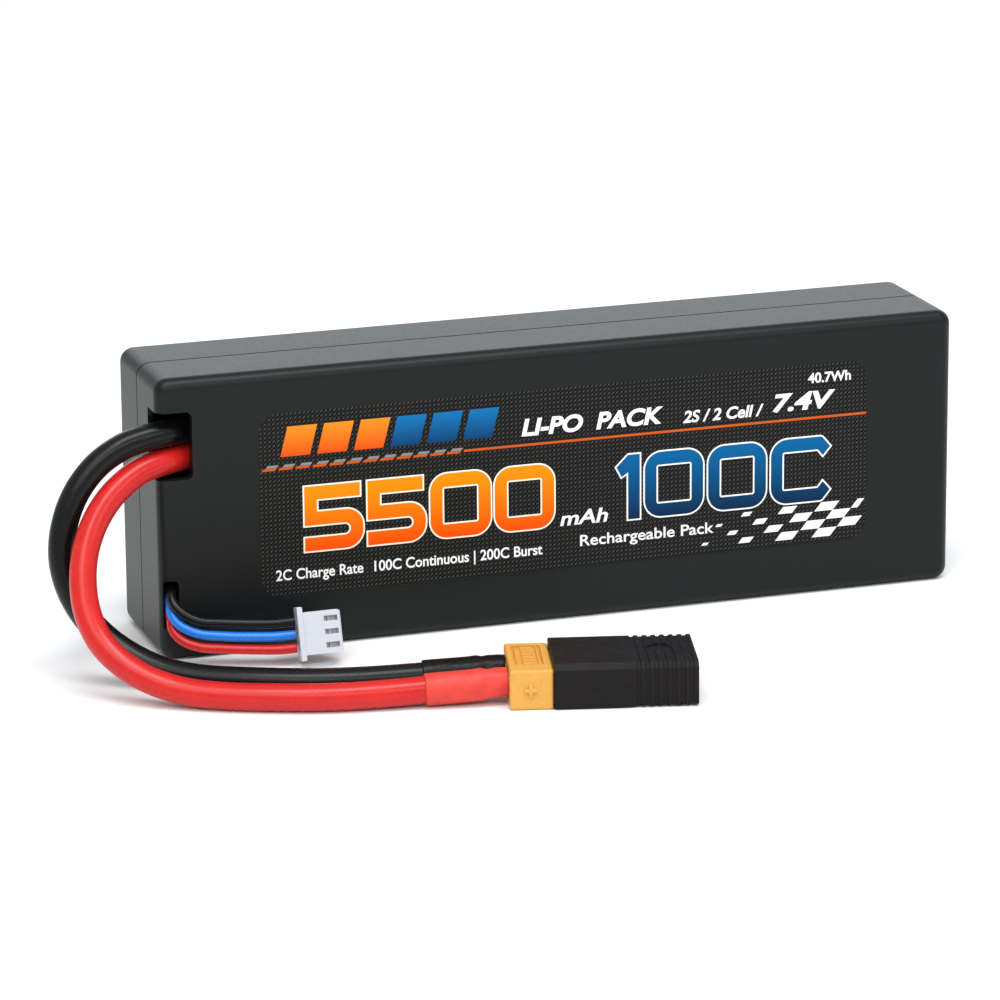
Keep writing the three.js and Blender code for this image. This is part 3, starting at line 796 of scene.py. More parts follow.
def sleeve(name, settings, look):
    """A heat-shrink sleeve on the straight end of a lead, necked down where it grips the cup."""
    first, last = mm(*POWER_ROUTES[name][-3]), mm(*POWER_ROUTES[name][-1])
    along = (last - first).normalized()
    gap_to_plug = 4.5  # the lead ends inside the cup, this far behind the plug
    start = last + along * gap_to_plug * MM
    # places are millimetres from the plug's rear face, and radii are in millimetres too
    open_end, neck_end, plug_end, taper = -13.2, -4.5, -0.05, 1.2
    outer, neck = settings.sleeve / MM, settings.neck / MM
    bore, neck_bore, lead_bore = outer - 0.3, neck - 0.2, settings.power / (2 * MM) + 0.03
    skin = [(open_end, lead_bore), (open_end + 0.02, outer - 0.16), (open_end + 0.16, outer - 0.02)]
    rings = 26
    for i in range(rings + 1):
        place = open_end + 0.4 + (plug_end - open_end - 0.5) * i / rings
        share = min(1.0, max(0.0, (place - neck_end) / taper))
        ease = share * share * (3 - 2 * share)
        skin.append((place, outer + (neck - outer) * ease))
    skin += [
        (plug_end, neck - 0.05), (plug_end, neck_bore), (neck_end + taper, neck_bore), (neck_end, bore),
        (open_end + 1.5, bore), (open_end + 0.6, lead_bore), (open_end, lead_bore),
    ]
    made = turned(f"shrink_sleeve_{name}", skin, start, along)
    take(made)
    # the skin is crumpled at the neck and a little uneven elsewhere, and its bore stays round
    for vertex in made.data.vertices:
        reach = (vertex.co - start).dot(along) / MM
        spoke = vertex.co - start - along * reach * MM
        if spoke.length < bore * MM * 0.98 and reach < neck_end:
            continue
        crumple = min(1.0, max(0.0, (reach - neck_end + 1.2) / 1.6))
        fine = noise.noise(vertex.co / (1.1 * MM)) * 0.16 * crumple
        broad = noise.noise(vertex.co / (3.2 * MM)) * 0.035
        lift = Vector((0.0, 0.0, 0.08 * crumple))
        vertex.co += (spoke.normalized() * (fine + broad) + lift) * MM
    bpy.ops.object.shade_smooth_by_angle(angle=math.radians(40))
    hand_over(made, look, [f"heat_shrink_{name}"])


class PACK_OT_leads(bpy.types.Operator):
    """Lay the power leads and the balance leads along their routes, and shrink the sleeves onto them"""

    bl_idname = "object.pack_leads"
    bl_label = "Leads and Sleeves"

    def execute(self, context):
        settings = context.scene.pack_leads
        rubber = {
            "red": silicone("red_silicone_rubber", settings.red, 0.32),
            "black": silicone("black_silicone_rubber", settings.black, 0.24),
            "blue": silicone("blue_silicone_rubber", settings.blue, 0.45),
        }
        for wire, node, routes, diameter, names in [
            ("power_lead", "main_lead", POWER_ROUTES, settings.power, ("red", "black")),
            ("sense_lead", "balance_lead", BALANCE_ROUTES, settings.balance, ("red", "black", "blue")),
        ]:
            for name in names:
                look, slot = rubber[name], f"{name}_silicone"
                lead(f"{wire}_{name}", routes[name], diameter, look, f"{node}_{name}")
        red_shrink = shrunk_polyolefin("red_shrunk_polyolefin", linear("#d43c33"), 0.5, 0.35)
        black_shrink = shrunk_polyolefin("black_shrunk_polyolefin", linear("#060607"), 0.38, 0.16)
        sleeve("red", settings, red_shrink)
        sleeve("black", settings, black_shrink)
        return {"FINISHED"}


# Case


def case_block(name, near, far, open_side, settings):
    """Half of the case as a rounded block, its large face away from the seam, its seam face selected."""
    low, high = FRONT_LOW, FRONT_HIGH
    made = box(name, (low.x, min(near, far), low.z), (high.x, max(near, far), high.z))
    round_along(Y_AXIS, settings.corner, 6)
    round_rim(Y_AXIS, far, settings.fillet, 7)
    pick("FACE", facing(Y_AXIS, open_side, near))
    return made


class PACK_OT_case(bpy.types.Operator):
    """Mould the two halves of the case, with the seam, the leads' notch and the balance slot"""

    bl_idname = "object.pack_case"
    bl_label = "Case"

    def execute(self, context):
        settings = context.scene.pack_case
        plastic = moulded_abs(settings.plastic)
        halves = {"case_front_shell": self.front(settings), "case_back_shell": self.back(settings)}
        for node, made in halves.items():
            soften(made, settings.edge, 2, 40)
            smooth(made)
            hand_over(made, plastic, [node])
        return {"FINISHED"}

    def front(self, settings):
        """The front half: hollow, with a rebate at the seam, the openings and the label's recess."""
        lip = 0.8 * MM
        seam = -SEAM_GAP / 2
        made = case_block("front_half", seam, FRONT_Y, 1, settings)
        inset(lip)
        extrude(y=-TONGUE_REACH)
        inset(settings.wall - lip)
        extrude(y=FRONT_Y + settings.face - seam + TONGUE_REACH)
        # the leads' notch and the balance slot: each is one cut through the large face and one behind it
        end = FRONT_LOW.x
        past = end - 4 * MM
        notch_right, slot_right = end + 5.8 * MM, end + 3 * MM
        for low, high, radius in [
            ((past, -13.5 * MM, 30.3 * MM), (notch_right, -6.8 * MM, 41.5 * MM), 1.0 * MM),
            ((end + 0.8 * MM, -6.9 * MM, 30.3 * MM), (notch_right, -3.1 * MM, 41.5 * MM), 1.0 * MM),
            ((past, -13.5 * MM, 5.5 * MM), (slot_right, -11.7 * MM, 13.5 * MM), 0.8 * MM),
            ((end + 0.6 * MM, -11.8 * MM, 5.5 * MM), (slot_right, -5.5 * MM, 13.5 * MM), 0.8 * MM),
        ]:
            cutter = box("opening", low, high)
            round_along(Y_AXIS, radius, 5)
            combine(made, cutter)
        return combine(made, label_plate("recess", 0.02 * MM, 1.0 * MM))

    def back(self, settings):
        """The back half: hollow, with a tongue that stands into the front half's rebate."""
        seam = SEAM_GAP / 2
        gap, tongue = 1.1 * MM, 0.5 * MM
        made = case_block("back_half", seam, BACK_Y, -1, settings)
        inset(gap)
        inset(tongue)
        inset(settings.wall - gap - tongue)
        extrude(y=BACK_Y - settings.face - seam)

        def on_tongue(face):
            spot = centre(face)
            low, high = spot - BACK_LOW, BACK_HIGH - spot
            return at(spot.y, seam) and gap < min(low.x, low.z, high.x, high.z) < gap + tongue

        pick("FACE", on_tongue)
        extrude(y=-TONGUE_REACH)
        return made


# Label


def label_plate(name, grow=0.0, forward=0.0):
    """The label's rounded outline, as thick as the label, or grown and drawn forward to cut its recess."""
    made = box(name, LABEL_LOW - Vector((grow, forward, grow)), LABEL_HIGH + Vector((grow, grow, grow)))
    round_along(Y_AXIS, bpy.context.scene.pack_label.corner + grow, 8)
    return made


def print_flat(made, x, z, scale, look, order=2):
    """Stand flat artwork up as a printed layer on the label: x and z are its lower left corner."""
    thick = bpy.context.scene.pack_label.ink * order
    stand = Matrix.Rotation(math.pi / 2, 4, "X") @ Matrix.Diagonal((*scale, thick, 1.0))
    settle(made, Matrix.Translation((x, LABEL_LOW.y - thick / 2, z)) @ stand)
    take(made, "EDIT")
    weld(0.002 * MM)
    hand_over(made, look)


def lettering(name, words, corner, size, look, lean, weight):
    """Plain words in the built-in font, fitted to a corner and a size in millimetres."""
    leave_edit()
    bpy.ops.object.text_add(location=(0.0, 0.0, 0.0))
    text = bpy.context.object
    text.name = name
    text.data.body, text.data.size, text.data.resolution_u = words, 1.0, 6
    text.data.shear, text.data.offset, text.data.extrude = lean, weight, 0.5
    bpy.ops.object.convert(target="MESH")
    xs = [v.co.x for v in text.data.vertices]
    ys = [v.co.y for v in text.data.vertices]
    wide, tall = size[0] * MM / (max(xs) - min(xs)), size[1] * MM / (max(ys) - min(ys))
    print_flat(text, corner[0] * MM - min(xs) * wide, corner[1] * MM - min(ys) * tall, (wide, tall), look)


def ink_bar(name, low, high, lean=0.0):
    """A printed bar between two corners, its top shifted sideways by the lean."""
    near, far = LABEL_LOW.y - bpy.context.scene.pack_label.ink, LABEL_LOW.y
    made = box(name, (low[0] * MM, near, low[1] * MM), (high[0] * MM, far, high[1] * MM))
    top = max(v.co.z for v in bmesh.from_edit_mesh(made.data).verts)
    pick("VERT", lambda v: at(v.co.z, top))
    bpy.ops.transform.translate(value=(lean * MM, 0.0, 0.0))
    leave_edit()
    return made


def round_corners(outline):
    """Points of an outline of (x, z, radius) corners, each corner with a radius drawn as an arc."""
    points = []
    for i, (x, z, radius) in enumerate(outline):
        here = Vector((x, z))
        if not radius:
            points.append(here)
            continue
        before, after = (Vector(outline[k % len(outline)][:2]) for k in (i - 1, i + 1))
        back, ahead = (before - here).normalized(), (after - here).normalized()
        reach = radius / math.tan(back.angle(ahead) / 2)
        start, end = here + back * reach, here + ahead * reach
        middle = here + (back + ahead).normalized() * math.hypot(reach, radius)
        sweep = (start - middle).angle_signed(end - middle)
        steps = 8
        for k in range(steps + 1):
            turn = Matrix.Rotation(-sweep * k / steps, 2)
            points.append(middle + turn @ (start - middle))
    return points


def square_figure(kind, wide, tall, bar):
    """Outlines of a plain squared figure in millimetres, each a list of (x, z, radius) corners."""
    side, half, big, small = bar - 0.15, tall / 2, 2.9, 0.4
    if kind == "5":
        return [[
            (0, 0, 0), (wide, 0, big), (wide, half + bar / 2, big), (side, half + bar / 2, 0),
            (side, tall - bar, 0), (wide - 0.5, tall - bar, 0), (wide - 0.5, tall, 0), (0, tall, 0),
            (0, half - bar / 2, 0), (wide - side, half - bar / 2, 1), (wide - side, bar, 1), (0, bar, 0),
        ]]
    if kind == "1":
        return [[
            (wide - side, 0, 0), (wide, 0, 0), (wide, tall, 0), (wide - side, tall, 0),
            (0, tall - 2, 0), (0.9, tall - 3.7, 0), (wide - side, tall - 3, 0),
        ]]
    if kind == "C":
        return [[
            (0, 0, big), (wide - 1.5, 0, 0.8), (wide, 1.8, 0), (wide - 1.3, 3.3, 0), (wide - 2.2, bar, 0),
            (side, bar, small), (side, tall - bar, small), (wide - 2.2, tall - bar, 0),
            (wide - 1.3, tall - 3.3, 0), (wide, tall - 1.8, 0), (wide - 1.5, tall, 0.8), (0, tall, big),
        ]]
    ring = [(0, 0, big), (wide, 0, big), (wide, tall, big), (0, tall, big)]
    inner = wide - side
    hole = [(side, bar, small), (side, tall - bar, small), (inner, tall - bar, small), (inner, bar, small)]
    return [ring, hole]


def figures(name, row, low, tall, bar, look, edge):
    """A row of squared figures over their outline; the row gives each one's kind, left end and width."""
    outline = 0.27
    for layer, grow, ink, order in [(name, 0.0, look, 2), (f"{name}_outline", outline, edge, 1)]:
        leave_edit()
        bpy.ops.curve.primitive_bezier_curve_add(location=(0.0, 0.0, 0.0))
        made = bpy.context.object
        made.name = layer
        made.data.dimensions = "2D"
        made.data.fill_mode = "BOTH"
        made.data.splines.clear()
        for kind, left, wide in row:
            for shape in square_figure(kind, wide, tall, bar):
                corners = round_corners(shape)
                spline = made.data.splines.new("POLY")
                spline.points.add(len(corners) - 1)
                for point, corner in zip(spline.points, corners):
                    point.co = (left + corner.x, corner.y, 0.0, 1.0)
                spline.use_cyclic_u = True
        made.data.offset, made.data.extrude = grow, 0.5
        bpy.ops.object.convert(target="MESH")
        print_flat(made, 0.0, low * MM, (MM, MM), ink, order)


class PACK_OT_label(bpy.types.Operator):
    """Stick on the label and print its rule, gauge, ratings and chequered band"""

    bl_idname = "object.pack_label"
    bl_label = "Label and Print"

    def execute(self, context):
        settings = context.scene.pack_label
        film = woven_film(settings.film, settings.tow, settings.thread)
        plate = label_plate("label_sheet")
        soften(plate, 0.03 * MM, 1, 60)
        smooth(plate)
        hand_over(plate, film, ["front_label"])
        ink = {
            "white": printed_ink("white_ink", linear("#f4f4f2"), linear("#e9eaea"), 40, 10),
            "warm": printed_ink("orange_ink", settings.warm_top, settings.warm_low, 26.2, 16.5),
            "cool": printed_ink("blue_ink", settings.cool_top, settings.cool_low, 26.5, 16.5),
            "rule": printed_ink("orange_rule_ink", linear("#cc5e20"), linear("#c25014"), 32, 30),
            "cream": printed_ink("cream_ink", linear("#f6efe0"), linear("#f2e6d2"), 27.5, 16),
            "grey": printed_ink("grey_ink", linear("#8d8f90"), linear("#77797a"), 32, 30),
        }
        capacity = [("5", -44.7, 9.9), ("5", -34, 9.9), ("0", -23.3, 10.4), ("0", -12.2, 10.3)]
        rate = [("1", 9, 4.1), ("0", 14, 10.3), ("0", 25.2, 10.3), ("C", 36.4, 10.6)]
        figures_low = 16.3
        figures("print_capacity", capacity, figures_low, 10.9, 2.25, ink["warm"], ink["cream"])
        figures("print_rate", rate, figures_low, 11.1, 2.2, ink["cool"], ink["white"])
        # each line of words: its lower left corner and size in millimetres, its lean and its weight
        for name, words, corner, size, lean, weight in [
            ("unit", "mAh", (-0.9, 16.3), (8.4, 2.5), 0.2, 0.02),
            ("chemistry", "LI-PO  PACK", (-7.5, 32.2), (24.7, 3.0), 0.2, 0.035),
            ("cells", "2S / 2 Cell /", (20.7, 31.9), (14.3, 2.1), 0.2, 0.025),
            ("voltage", "7.4V", (36.6, 32.2), (11.2, 3.2), 0.2, 0.035),
            ("energy", "40.7Wh", (42.9, 36.7), (7.7, 1.8), 0.0, 0.022),
            ("charge", "2C Charge Rate", (-49.7, 11.2), (14.8, 2.4), 0.0, 0.014),
            ("discharge", "100C Continuous | 200C Burst", (-33.0, 11.2), (29.0, 2.4), 0.0, 0.016),
            ("note", "Rechargeable Pack", (2.6, 11.9), (23.6, 2.5), 0.0, 0.012),
        ]:
            lettering(f"print_{name}", words, corner, size, ink["white"], lean, weight)
        self.gauge()
        self.rule(ink)
        self.chequers(ink)
        return {"FINISHED"}

    def gauge(self):
        """A plain level gauge of slanted bars."""
        start, step, wide, low, high, lean = -48.6, 6.2, 5.0, 32.6, 37.6, 1.3
        for tone, first, top, bottom in [
            ("warm", 0, "#ee8a20", "#dc4e10"), ("cool", 3, "#0f6dab", "#083a68")
        ]:
            bars = []
            for i in range(first, first + 3):
                left = start + step * i
                bars.append(ink_bar("bar", (left, low), (left + wide, high), lean))
            look = printed_ink(f"{tone}_gauge_ink", linear(top), linear(bottom), high, low)
            hand_over(join(f"print_gauge_{tone}", bars), look)

    def rule(self, ink):
        """The rule from side to side, broken into slanted dashes at its left end."""
        left, right = LABEL_LOW.x / MM + 0.05, LABEL_HIGH.x / MM - 0.05
        count, step = 12, 2.85
        strokes, dashes = [], []
        for i in range(count):
            start = left + 0.2 + step * i
            strokes.append(ink_bar("stroke", (start, 30.4), (start + 2.3, 30.8), 0.3))
            dashes.append(ink_bar("dash", (start + 0.75, 30.85), (start + 2.6, 31.3), 0.35))
        strokes.append(ink_bar("line", (left + count * step + 0.4, 30.55), (right, 30.95)))
        hand_over(join("print_rule", strokes), ink["rule"])
        hand_over(join("print_dashes", dashes), ink["grey"])

    def chequers(self, ink):
        """A slanted band of chequers in the lower right corner, breaking up to the left."""
        tiles = []
        rows, columns, high, wide, lean, smallest = 4, 8, 1.5, 3.3, 1.25, 0.4
        band_left, band_low = 24.0, 9.9
        for row in range(rows):
            # the lowest row stops short of the label's rounded corner
            edge = LABEL_HIGH.x / MM - (0.8 if row == 0 else 0.2)
            for column in range(row % 2, columns, 2):
                share = min(1.0, 0.3 + 0.16 * column)
                left = band_left + lean * row + wide * column
                low = band_low + high * (row + (1 - share) / 2)
                right = min(left + wide * share, edge - lean * share)
                if right - left > smallest:
                    tiles.append(ink_bar("tile", (left, low), (right, low + high * share), lean * share))
        hand_over(join("print_chequers", tiles), ink["white"])


# Power plug


def nose_block(name, near, far, grow=0.0):
    """The nose's outline as a block, in millimetres, chamfered at its negative side only."""
    wide, tall = NOSE_HALF_WIDE + grow, NOSE_HALF_TALL + grow
    made = box(name, mm(near, -wide, PLUG_AXIS_Z - tall), mm(far, wide, PLUG_AXIS_Z + tall))
    pick("EDGE", lambda edge: runs(edge, X_AXIS) and centre(edge).y > 0)
    round_edges(NOSE_CHAMFER * MM, 1)
    return made


def contact_place(along, side):
    """A place on the line of the positive (-1) or the negative (1) contact."""
    return mm(along, side * SOCKET_PITCH / 2, PLUG_AXIS_Z)


class PACK_OT_plug(bpy.types.Operator):
    """Mould the yellow power plug and press its two gold sockets in"""

    bl_idname = "object.pack_plug"
    bl_label = "Power Plug"

    def execute(self, context):
        settings = context.scene.pack_plug
        gold = metal("gold_plated_brass", settings.gold, 0.22, 0.3, 0.004)
        nylon = moulded_nylon("moulded_yellow_nylon", settings.nylon, 0.46, 0.26, 0.35, 0.012)
        body = self.housing(settings)
        settle(body, PLUG_PLACE)
        hand_over(body, nylon, ["power_plug_housing"])
        tip = (settings.block + settings.nose) / MM - 0.3
        for name, side in [("positive", -1), ("negative", 1)]:
            profile = [
                (-1.2, 0), (-1.2, 1.5), (-4.0, 1.5), (-4.2, 1.6), (-4.2, 1.8), (-4.05, 1.9), (0.4, 1.9),
                (0.4, 2.0), (0.5, 2.05), (tip - 0.2, 2.05), (tip, 1.95), (tip, 1.85), (tip - 0.15, 1.75),
                (tip - 9, 1.75), (tip - 9.6, 0),
            ]
            made = turned(f"plug_socket_{name}", profile, contact_place(0, side))
            smooth(made)
            settle(made, PLUG_PLACE)
            hand_over(made, gold, [f"power_socket_{name}"])
        return {"FINISHED"}

    def housing(self, settings):
        """The yellow housing, with its top pocket, its polarity marks and the sockets' bores."""
        wide, low, high = settings.width / 2, FLOOR_CLEAR * MM, FLOOR_CLEAR * MM + settings.height
        body = box("yellow_plug", (0, -wide, low), (settings.block, wide, high))
        bpy.ops.mesh.select_all(action="SELECT")
        round_edges(0.4 * MM, 3)
        body = combine(body, self.nose(settings), "UNION")
        pocket = box("pocket", mm(0.9, -4.1, 6.0), mm(5.6, 6.0, 8.5))
        round_along(Z_AXIS, 0.3 * MM, 3)
        combine(body, pocket)
        # two thin ribs on each side of the pocket, and a column of grip bars between them
        bars = [box("rib", mm(s, -3.9, 5.9), mm(s + 0.3, 5.8, 6.35)) for s in (1.4, 4.85)]
        bars += [box("bar", mm(2.4, -3.6 + 1.6 * i, 5.9), mm(4.3, -2.6 + 1.6 * i, 6.5)) for i in range(6)]
        for bar in bars:
            soften(bar, 0.07 * MM, 2)
        combine(body, join("ribs", bars), "UNION")
        combine(body, self.mark("plus", -wide, (2.1, 0.55), (0.55, 2.1)), "UNION")
        combine(body, self.mark("minus", wide, (2.1, 0.55)), "UNION")
        through = settings.block + settings.nose + 3 * MM
        for side in (-1, 1):
            combine(body, rod("bore", contact_place(-1, side), (1, 0, 0), through, 2.3 * MM, 48))
        soften(body, 0.06 * MM, 2, 50)
        return smooth(body, 40)

    def nose(self, settings):
        """The nose, its end softly rounded."""
        block, reach = settings.block / MM, (settings.block + settings.nose) / MM
        made = nose_block("nose", block - 0.6, reach)
        round_rim(X_AXIS, reach * MM, 0.25 * MM, 2)
        return made

    def mark(self, name, side, *strokes):
        """A raised polarity mark in the middle of one narrow side, of one or two strokes."""
        middle, proud = Vector((3.3 * MM, side, PLUG_AXIS_Z * MM)), 0.35
        made = []
        for wide, tall in strokes:
            reach = mm(wide / 2, proud, tall / 2)
            made.append(soften(box(name, middle - reach, middle + reach), 0.06 * MM, 2))
        return combine(made[0], made[1], "UNION") if len(made) > 1 else made[0]


# Plug adapter


class PACK_OT_adapter(bpy.types.Operator):
    """Mould the ribbed adapter that pulls off the power plug, with its pins and blades"""

    bl_idname = "object.pack_adapter"
    bl_label = "Plug Adapter"

    def execute(self, context):
        settings = context.scene.pack_adapter
        gold = bpy.data.materials["gold_plated_brass"]
        nylon = moulded_nylon("moulded_black_nylon", settings.nylon, 0.42, 0.06, 0.32, 0.02)
        brass = metal("rolled_brass", settings.brass, 0.3, 0.5, 0.006)
        body = self.housing(settings)
        settle(body, PLUG_PLACE)
        hand_over(body, nylon, ["adapter_housing"], ADAPTER_BODY)
        for name, side in [("positive", -1), ("negative", 1)]:
            pin = self.pin(f"adapter_pin_{name}_turned", side)
            settle(pin, PLUG_PLACE)
            hand_over(pin, gold, [f"adapter_pin_{name}"], ADAPTER_BODY)
        for name, low, high in self.blades(settings):
            blade = box(f"blade_{name}", low, high)
            round_rim(X_AXIS, high.x, 0.2 * MM, 3)
            soften(blade, 0.05 * MM, 2)
            smooth(blade)
            settle(blade, PLUG_PLACE)
            hand_over(blade, brass, [f"adapter_blade_{name}"], ADAPTER_BODY)
        return {"FINISHED"}

    def ends(self, settings):
        """Where the adapter starts, where its mouth ends and where it ends, in millimetres along the plug."""
        block = bpy.context.scene.pack_plug.block / MM
        return block + 0.1, block + 8.9, block + 0.3 + settings.long / MM

    def housing(self, settings):
        """The black housing, with its grip ribs, openings, ejector mark and moulding line."""
        start, _, end = (place * MM for place in self.ends(settings))
        wide, low, high = settings.width / 2, FLOOR_CLEAR * MM, FLOOR_CLEAR * MM + settings.height
        body = box("black_adapter", (start, -wide, low), (end, wide, high))
        pick("EDGE", lambda edge: runs(edge, X_AXIS) and centre(edge).z > high - 0.1 * MM)
        round_edges(settings.chamfer, 1)
        pick("EDGE", lambda edge: runs(edge, X_AXIS) and centre(edge).z < low + 0.1 * MM)
        round_edges(0.4 * MM, 2)
        ribs = 7
        grooves = []
        for i in range(ribs):
            right = end - settings.rib - i * settings.pitch
            left = right - (settings.pitch - settings.rib)
            slice_at(X_AXIS, left)
            slice_at(X_AXIS, right)
            grooves.append((left, right))
        # the under side rises a little below the ribs
        ribs_start = end - ribs * settings.pitch
        slice_at(X_AXIS, ribs_start - 2.2 * MM)
        pick("VERT", lambda v: v.co.z < low + 0.5 * MM and v.co.x > ribs_start - 0.1 * MM)
        bpy.ops.transform.translate(value=(0.0, 0.0, 0.25 * MM))

        def in_groove(face):
            spot = centre(face).x
            return abs(face.normal.x) < 0.1 and any(left < spot < right for left, right in grooves)

        pick("FACE", in_groove)
        bpy.ops.mesh.extrude_region_shrink_fatten(
            TRANSFORM_OT_shrink_fatten={"value": -settings.proud, "use_even_offset": True}
        )
        soften(body, 0.09 * MM, 2, 25)
        self.openings(body, settings)
        # a round ejector mark between the ribs, and the moulding line along the narrow sides
        mark = rod("ejector_mark", mm(24.2, 0.3, 7.1), (0, 0, 1), 1 * MM, 2.1 * MM, 48)
        combine(body, mark)
        for side in (-1, 1):
            for i in range(5):
                left = start / MM + 1.5 + 2.2 * i
                low_y, high_y = sorted((side * (wide / MM - 0.1), side * (wide / MM + 0.07)))
                dash = box("flash", mm(left, low_y, 3.52), mm(left + 1.3, high_y, 3.67))
                combine(body, soften(dash, 0.02 * MM, 1), "UNION")
        return smooth(body, 32)

    def openings(self, body, settings):
        """The mouth that takes the plug's nose, the pins' seats and the two blade slots."""
        start, mouth_end, _ = self.ends(settings)
        combine(body, nose_block("mouth", start - 1, mouth_end, 0.3))
        for side in (-1, 1):
            seat = contact_place(mouth_end - 0.5, side)
            combine(body, rod("seat", seat, (1, 0, 0), 4.0 * MM, 1.85 * MM, 32))
        for _, low, high in self.blades(settings):
            flat = high.y - low.y > high.z - low.z
            room = mm(0.3, 0.3, 0.6) if flat else mm(0.3, 0.6, 0.3)
            slot = box("slot", low - room, high + room + mm(2, 0, 0))
            round_along(X_AXIS, 0.3 * MM, 3)
            combine(body, slot)

    def blades(self, settings):
        """Low and high corners of the flat positive blade and the upright negative one."""
        end = self.ends(settings)[2]
        inner, outer, half_wide, half_thick = end - 9.2, end - 0.6, 2.9, 0.35
        half, middle = settings.width / MM / 2, FLOOR_CLEAR + settings.height / MM / 2
        flat_y, upright_y, half_tall = -half + 4.5, half - 4.2, 2.6
        return [
            (
                "positive", mm(inner, flat_y - half_wide, middle - half_thick),
                mm(outer, flat_y + half_wide, middle + half_thick),
            ),
            (
                "negative", mm(inner, upright_y - half_thick, middle - half_tall),
                mm(outer, upright_y + half_thick, middle + half_tall),
            ),
        ]

    def pin(self, name, side):
        """A turned pin, slit at its tip so that it springs."""
        mouth_end = self.ends(bpy.context.scene.pack_adapter)[1]
        tip, root = mouth_end - 6.8, mouth_end + 3.2
        profile = [
            (tip, 0), (tip, 0.75), (tip + 0.15, 1.05), (tip + 0.5, 1.3), (tip + 1.0, 1.5),
            (tip + 1.4, 1.55), (mouth_end - 0.6, 1.55), (mouth_end - 0.5, 1.45), (mouth_end - 0.2, 1.45),
            (mouth_end - 0.1, 1.55), (root - 0.15, 1.55), (root, 1.4), (root, 0),
        ]
        made = turned(name, profile, contact_place(0, side))
        for wide, tall in [(0.2, 2), (2, 0.2)]:
            near, far = contact_place(tip - 1, side), contact_place(tip + 4.4, side)
            combine(made, box("slit", near - mm(0, wide, tall), far + mm(0, wide, tall)))
        # the slits leave a few faces without area
        take(made, "EDIT")
        bpy.ops.mesh.select_all(action="SELECT")
        bpy.ops.mesh.dissolve_degenerate(threshold=0.0005 * MM)
        return smooth(made)


# Balance plug


class PACK_OT_balance(bpy.types.Operator):
    """Mould the small white plug, with its windows and its three crimped contacts"""

    bl_idname = "object.pack_balance"
    bl_label = "Balance Plug"

    def execute(self, context):
        settings = context.scene.pack_balance
        nylon = white_nylon(settings.nylon)
        tin = metal("tinned_bronze", settings.tin, 0.32, 0.4, 0.006)
        body = self.housing(settings)
        settle(body, BALANCE_PLACE)
        hand_over(body, nylon, ["balance_plug_housing"])
        for i, name in enumerate(("red", "blue", "black")):
            made = self.contact(f"plug_contact_{name}", (i - 1) * settings.pitch)
            settle(made, BALANCE_PLACE)
            hand_over(made, tin, [f"balance_contact_{name}"])
        return {"FINISHED"}

    def housing(self, settings):
        """The white housing: a flange, a body, and a tunnel and a window for each contact."""
        flange = 0.9 * MM
        thick, tall = settings.thick / 2, settings.height / 2
        body = box("white_plug", (flange - 0.2 * MM, -thick, -tall), (settings.long, thick, tall))
        round_rim(X_AXIS, settings.long, 0.45 * MM, 3)
        plate = box("flange", mm(0, -2.6, -4.375), mm(0.9, 2.6, 4.375))
        combine(body, soften(plate, 0.14 * MM, 2), "UNION")
        for i in (-1, 0, 1):
            level = i * settings.pitch / MM
            tunnel = box("tunnel", mm(-1, -0.8, level - 0.8), mm(settings.long / MM + 1, 0.8, level + 0.8))
            combine(body, tunnel)
            window = box("window", mm(4.25, -5, level - 0.42), mm(6.45, 0, level + 0.42))
            combine(body, window)
        soften(body, 0.07 * MM, 2, 45)
        return smooth(body, 40)

    def contact(self, name, level):
        """A folded box contact with an open throat and a locking tongue on its window side."""
        half = 0.6 * MM
        made = box(name, (1.0 * MM, -half, level - half), (6.5 * MM, half, level + half))
        pick("FACE", facing(X_AXIS, 1))
        inset(0.18 * MM)
        extrude(x=-2.2 * MM)
        slice_at(X_AXIS, 4.7 * MM)
        slice_at(X_AXIS, 5.7 * MM)
        pick("FACE", lambda face: face.normal.y < -0.99 and at(centre(face).x, 5.2 * MM, 0.1 * MM))
        inset(0.15 * MM)
        extrude(y=-0.18 * MM)
        soften(made, 0.05 * MM, 1, 50)
        return smooth(made)


# Inside the case


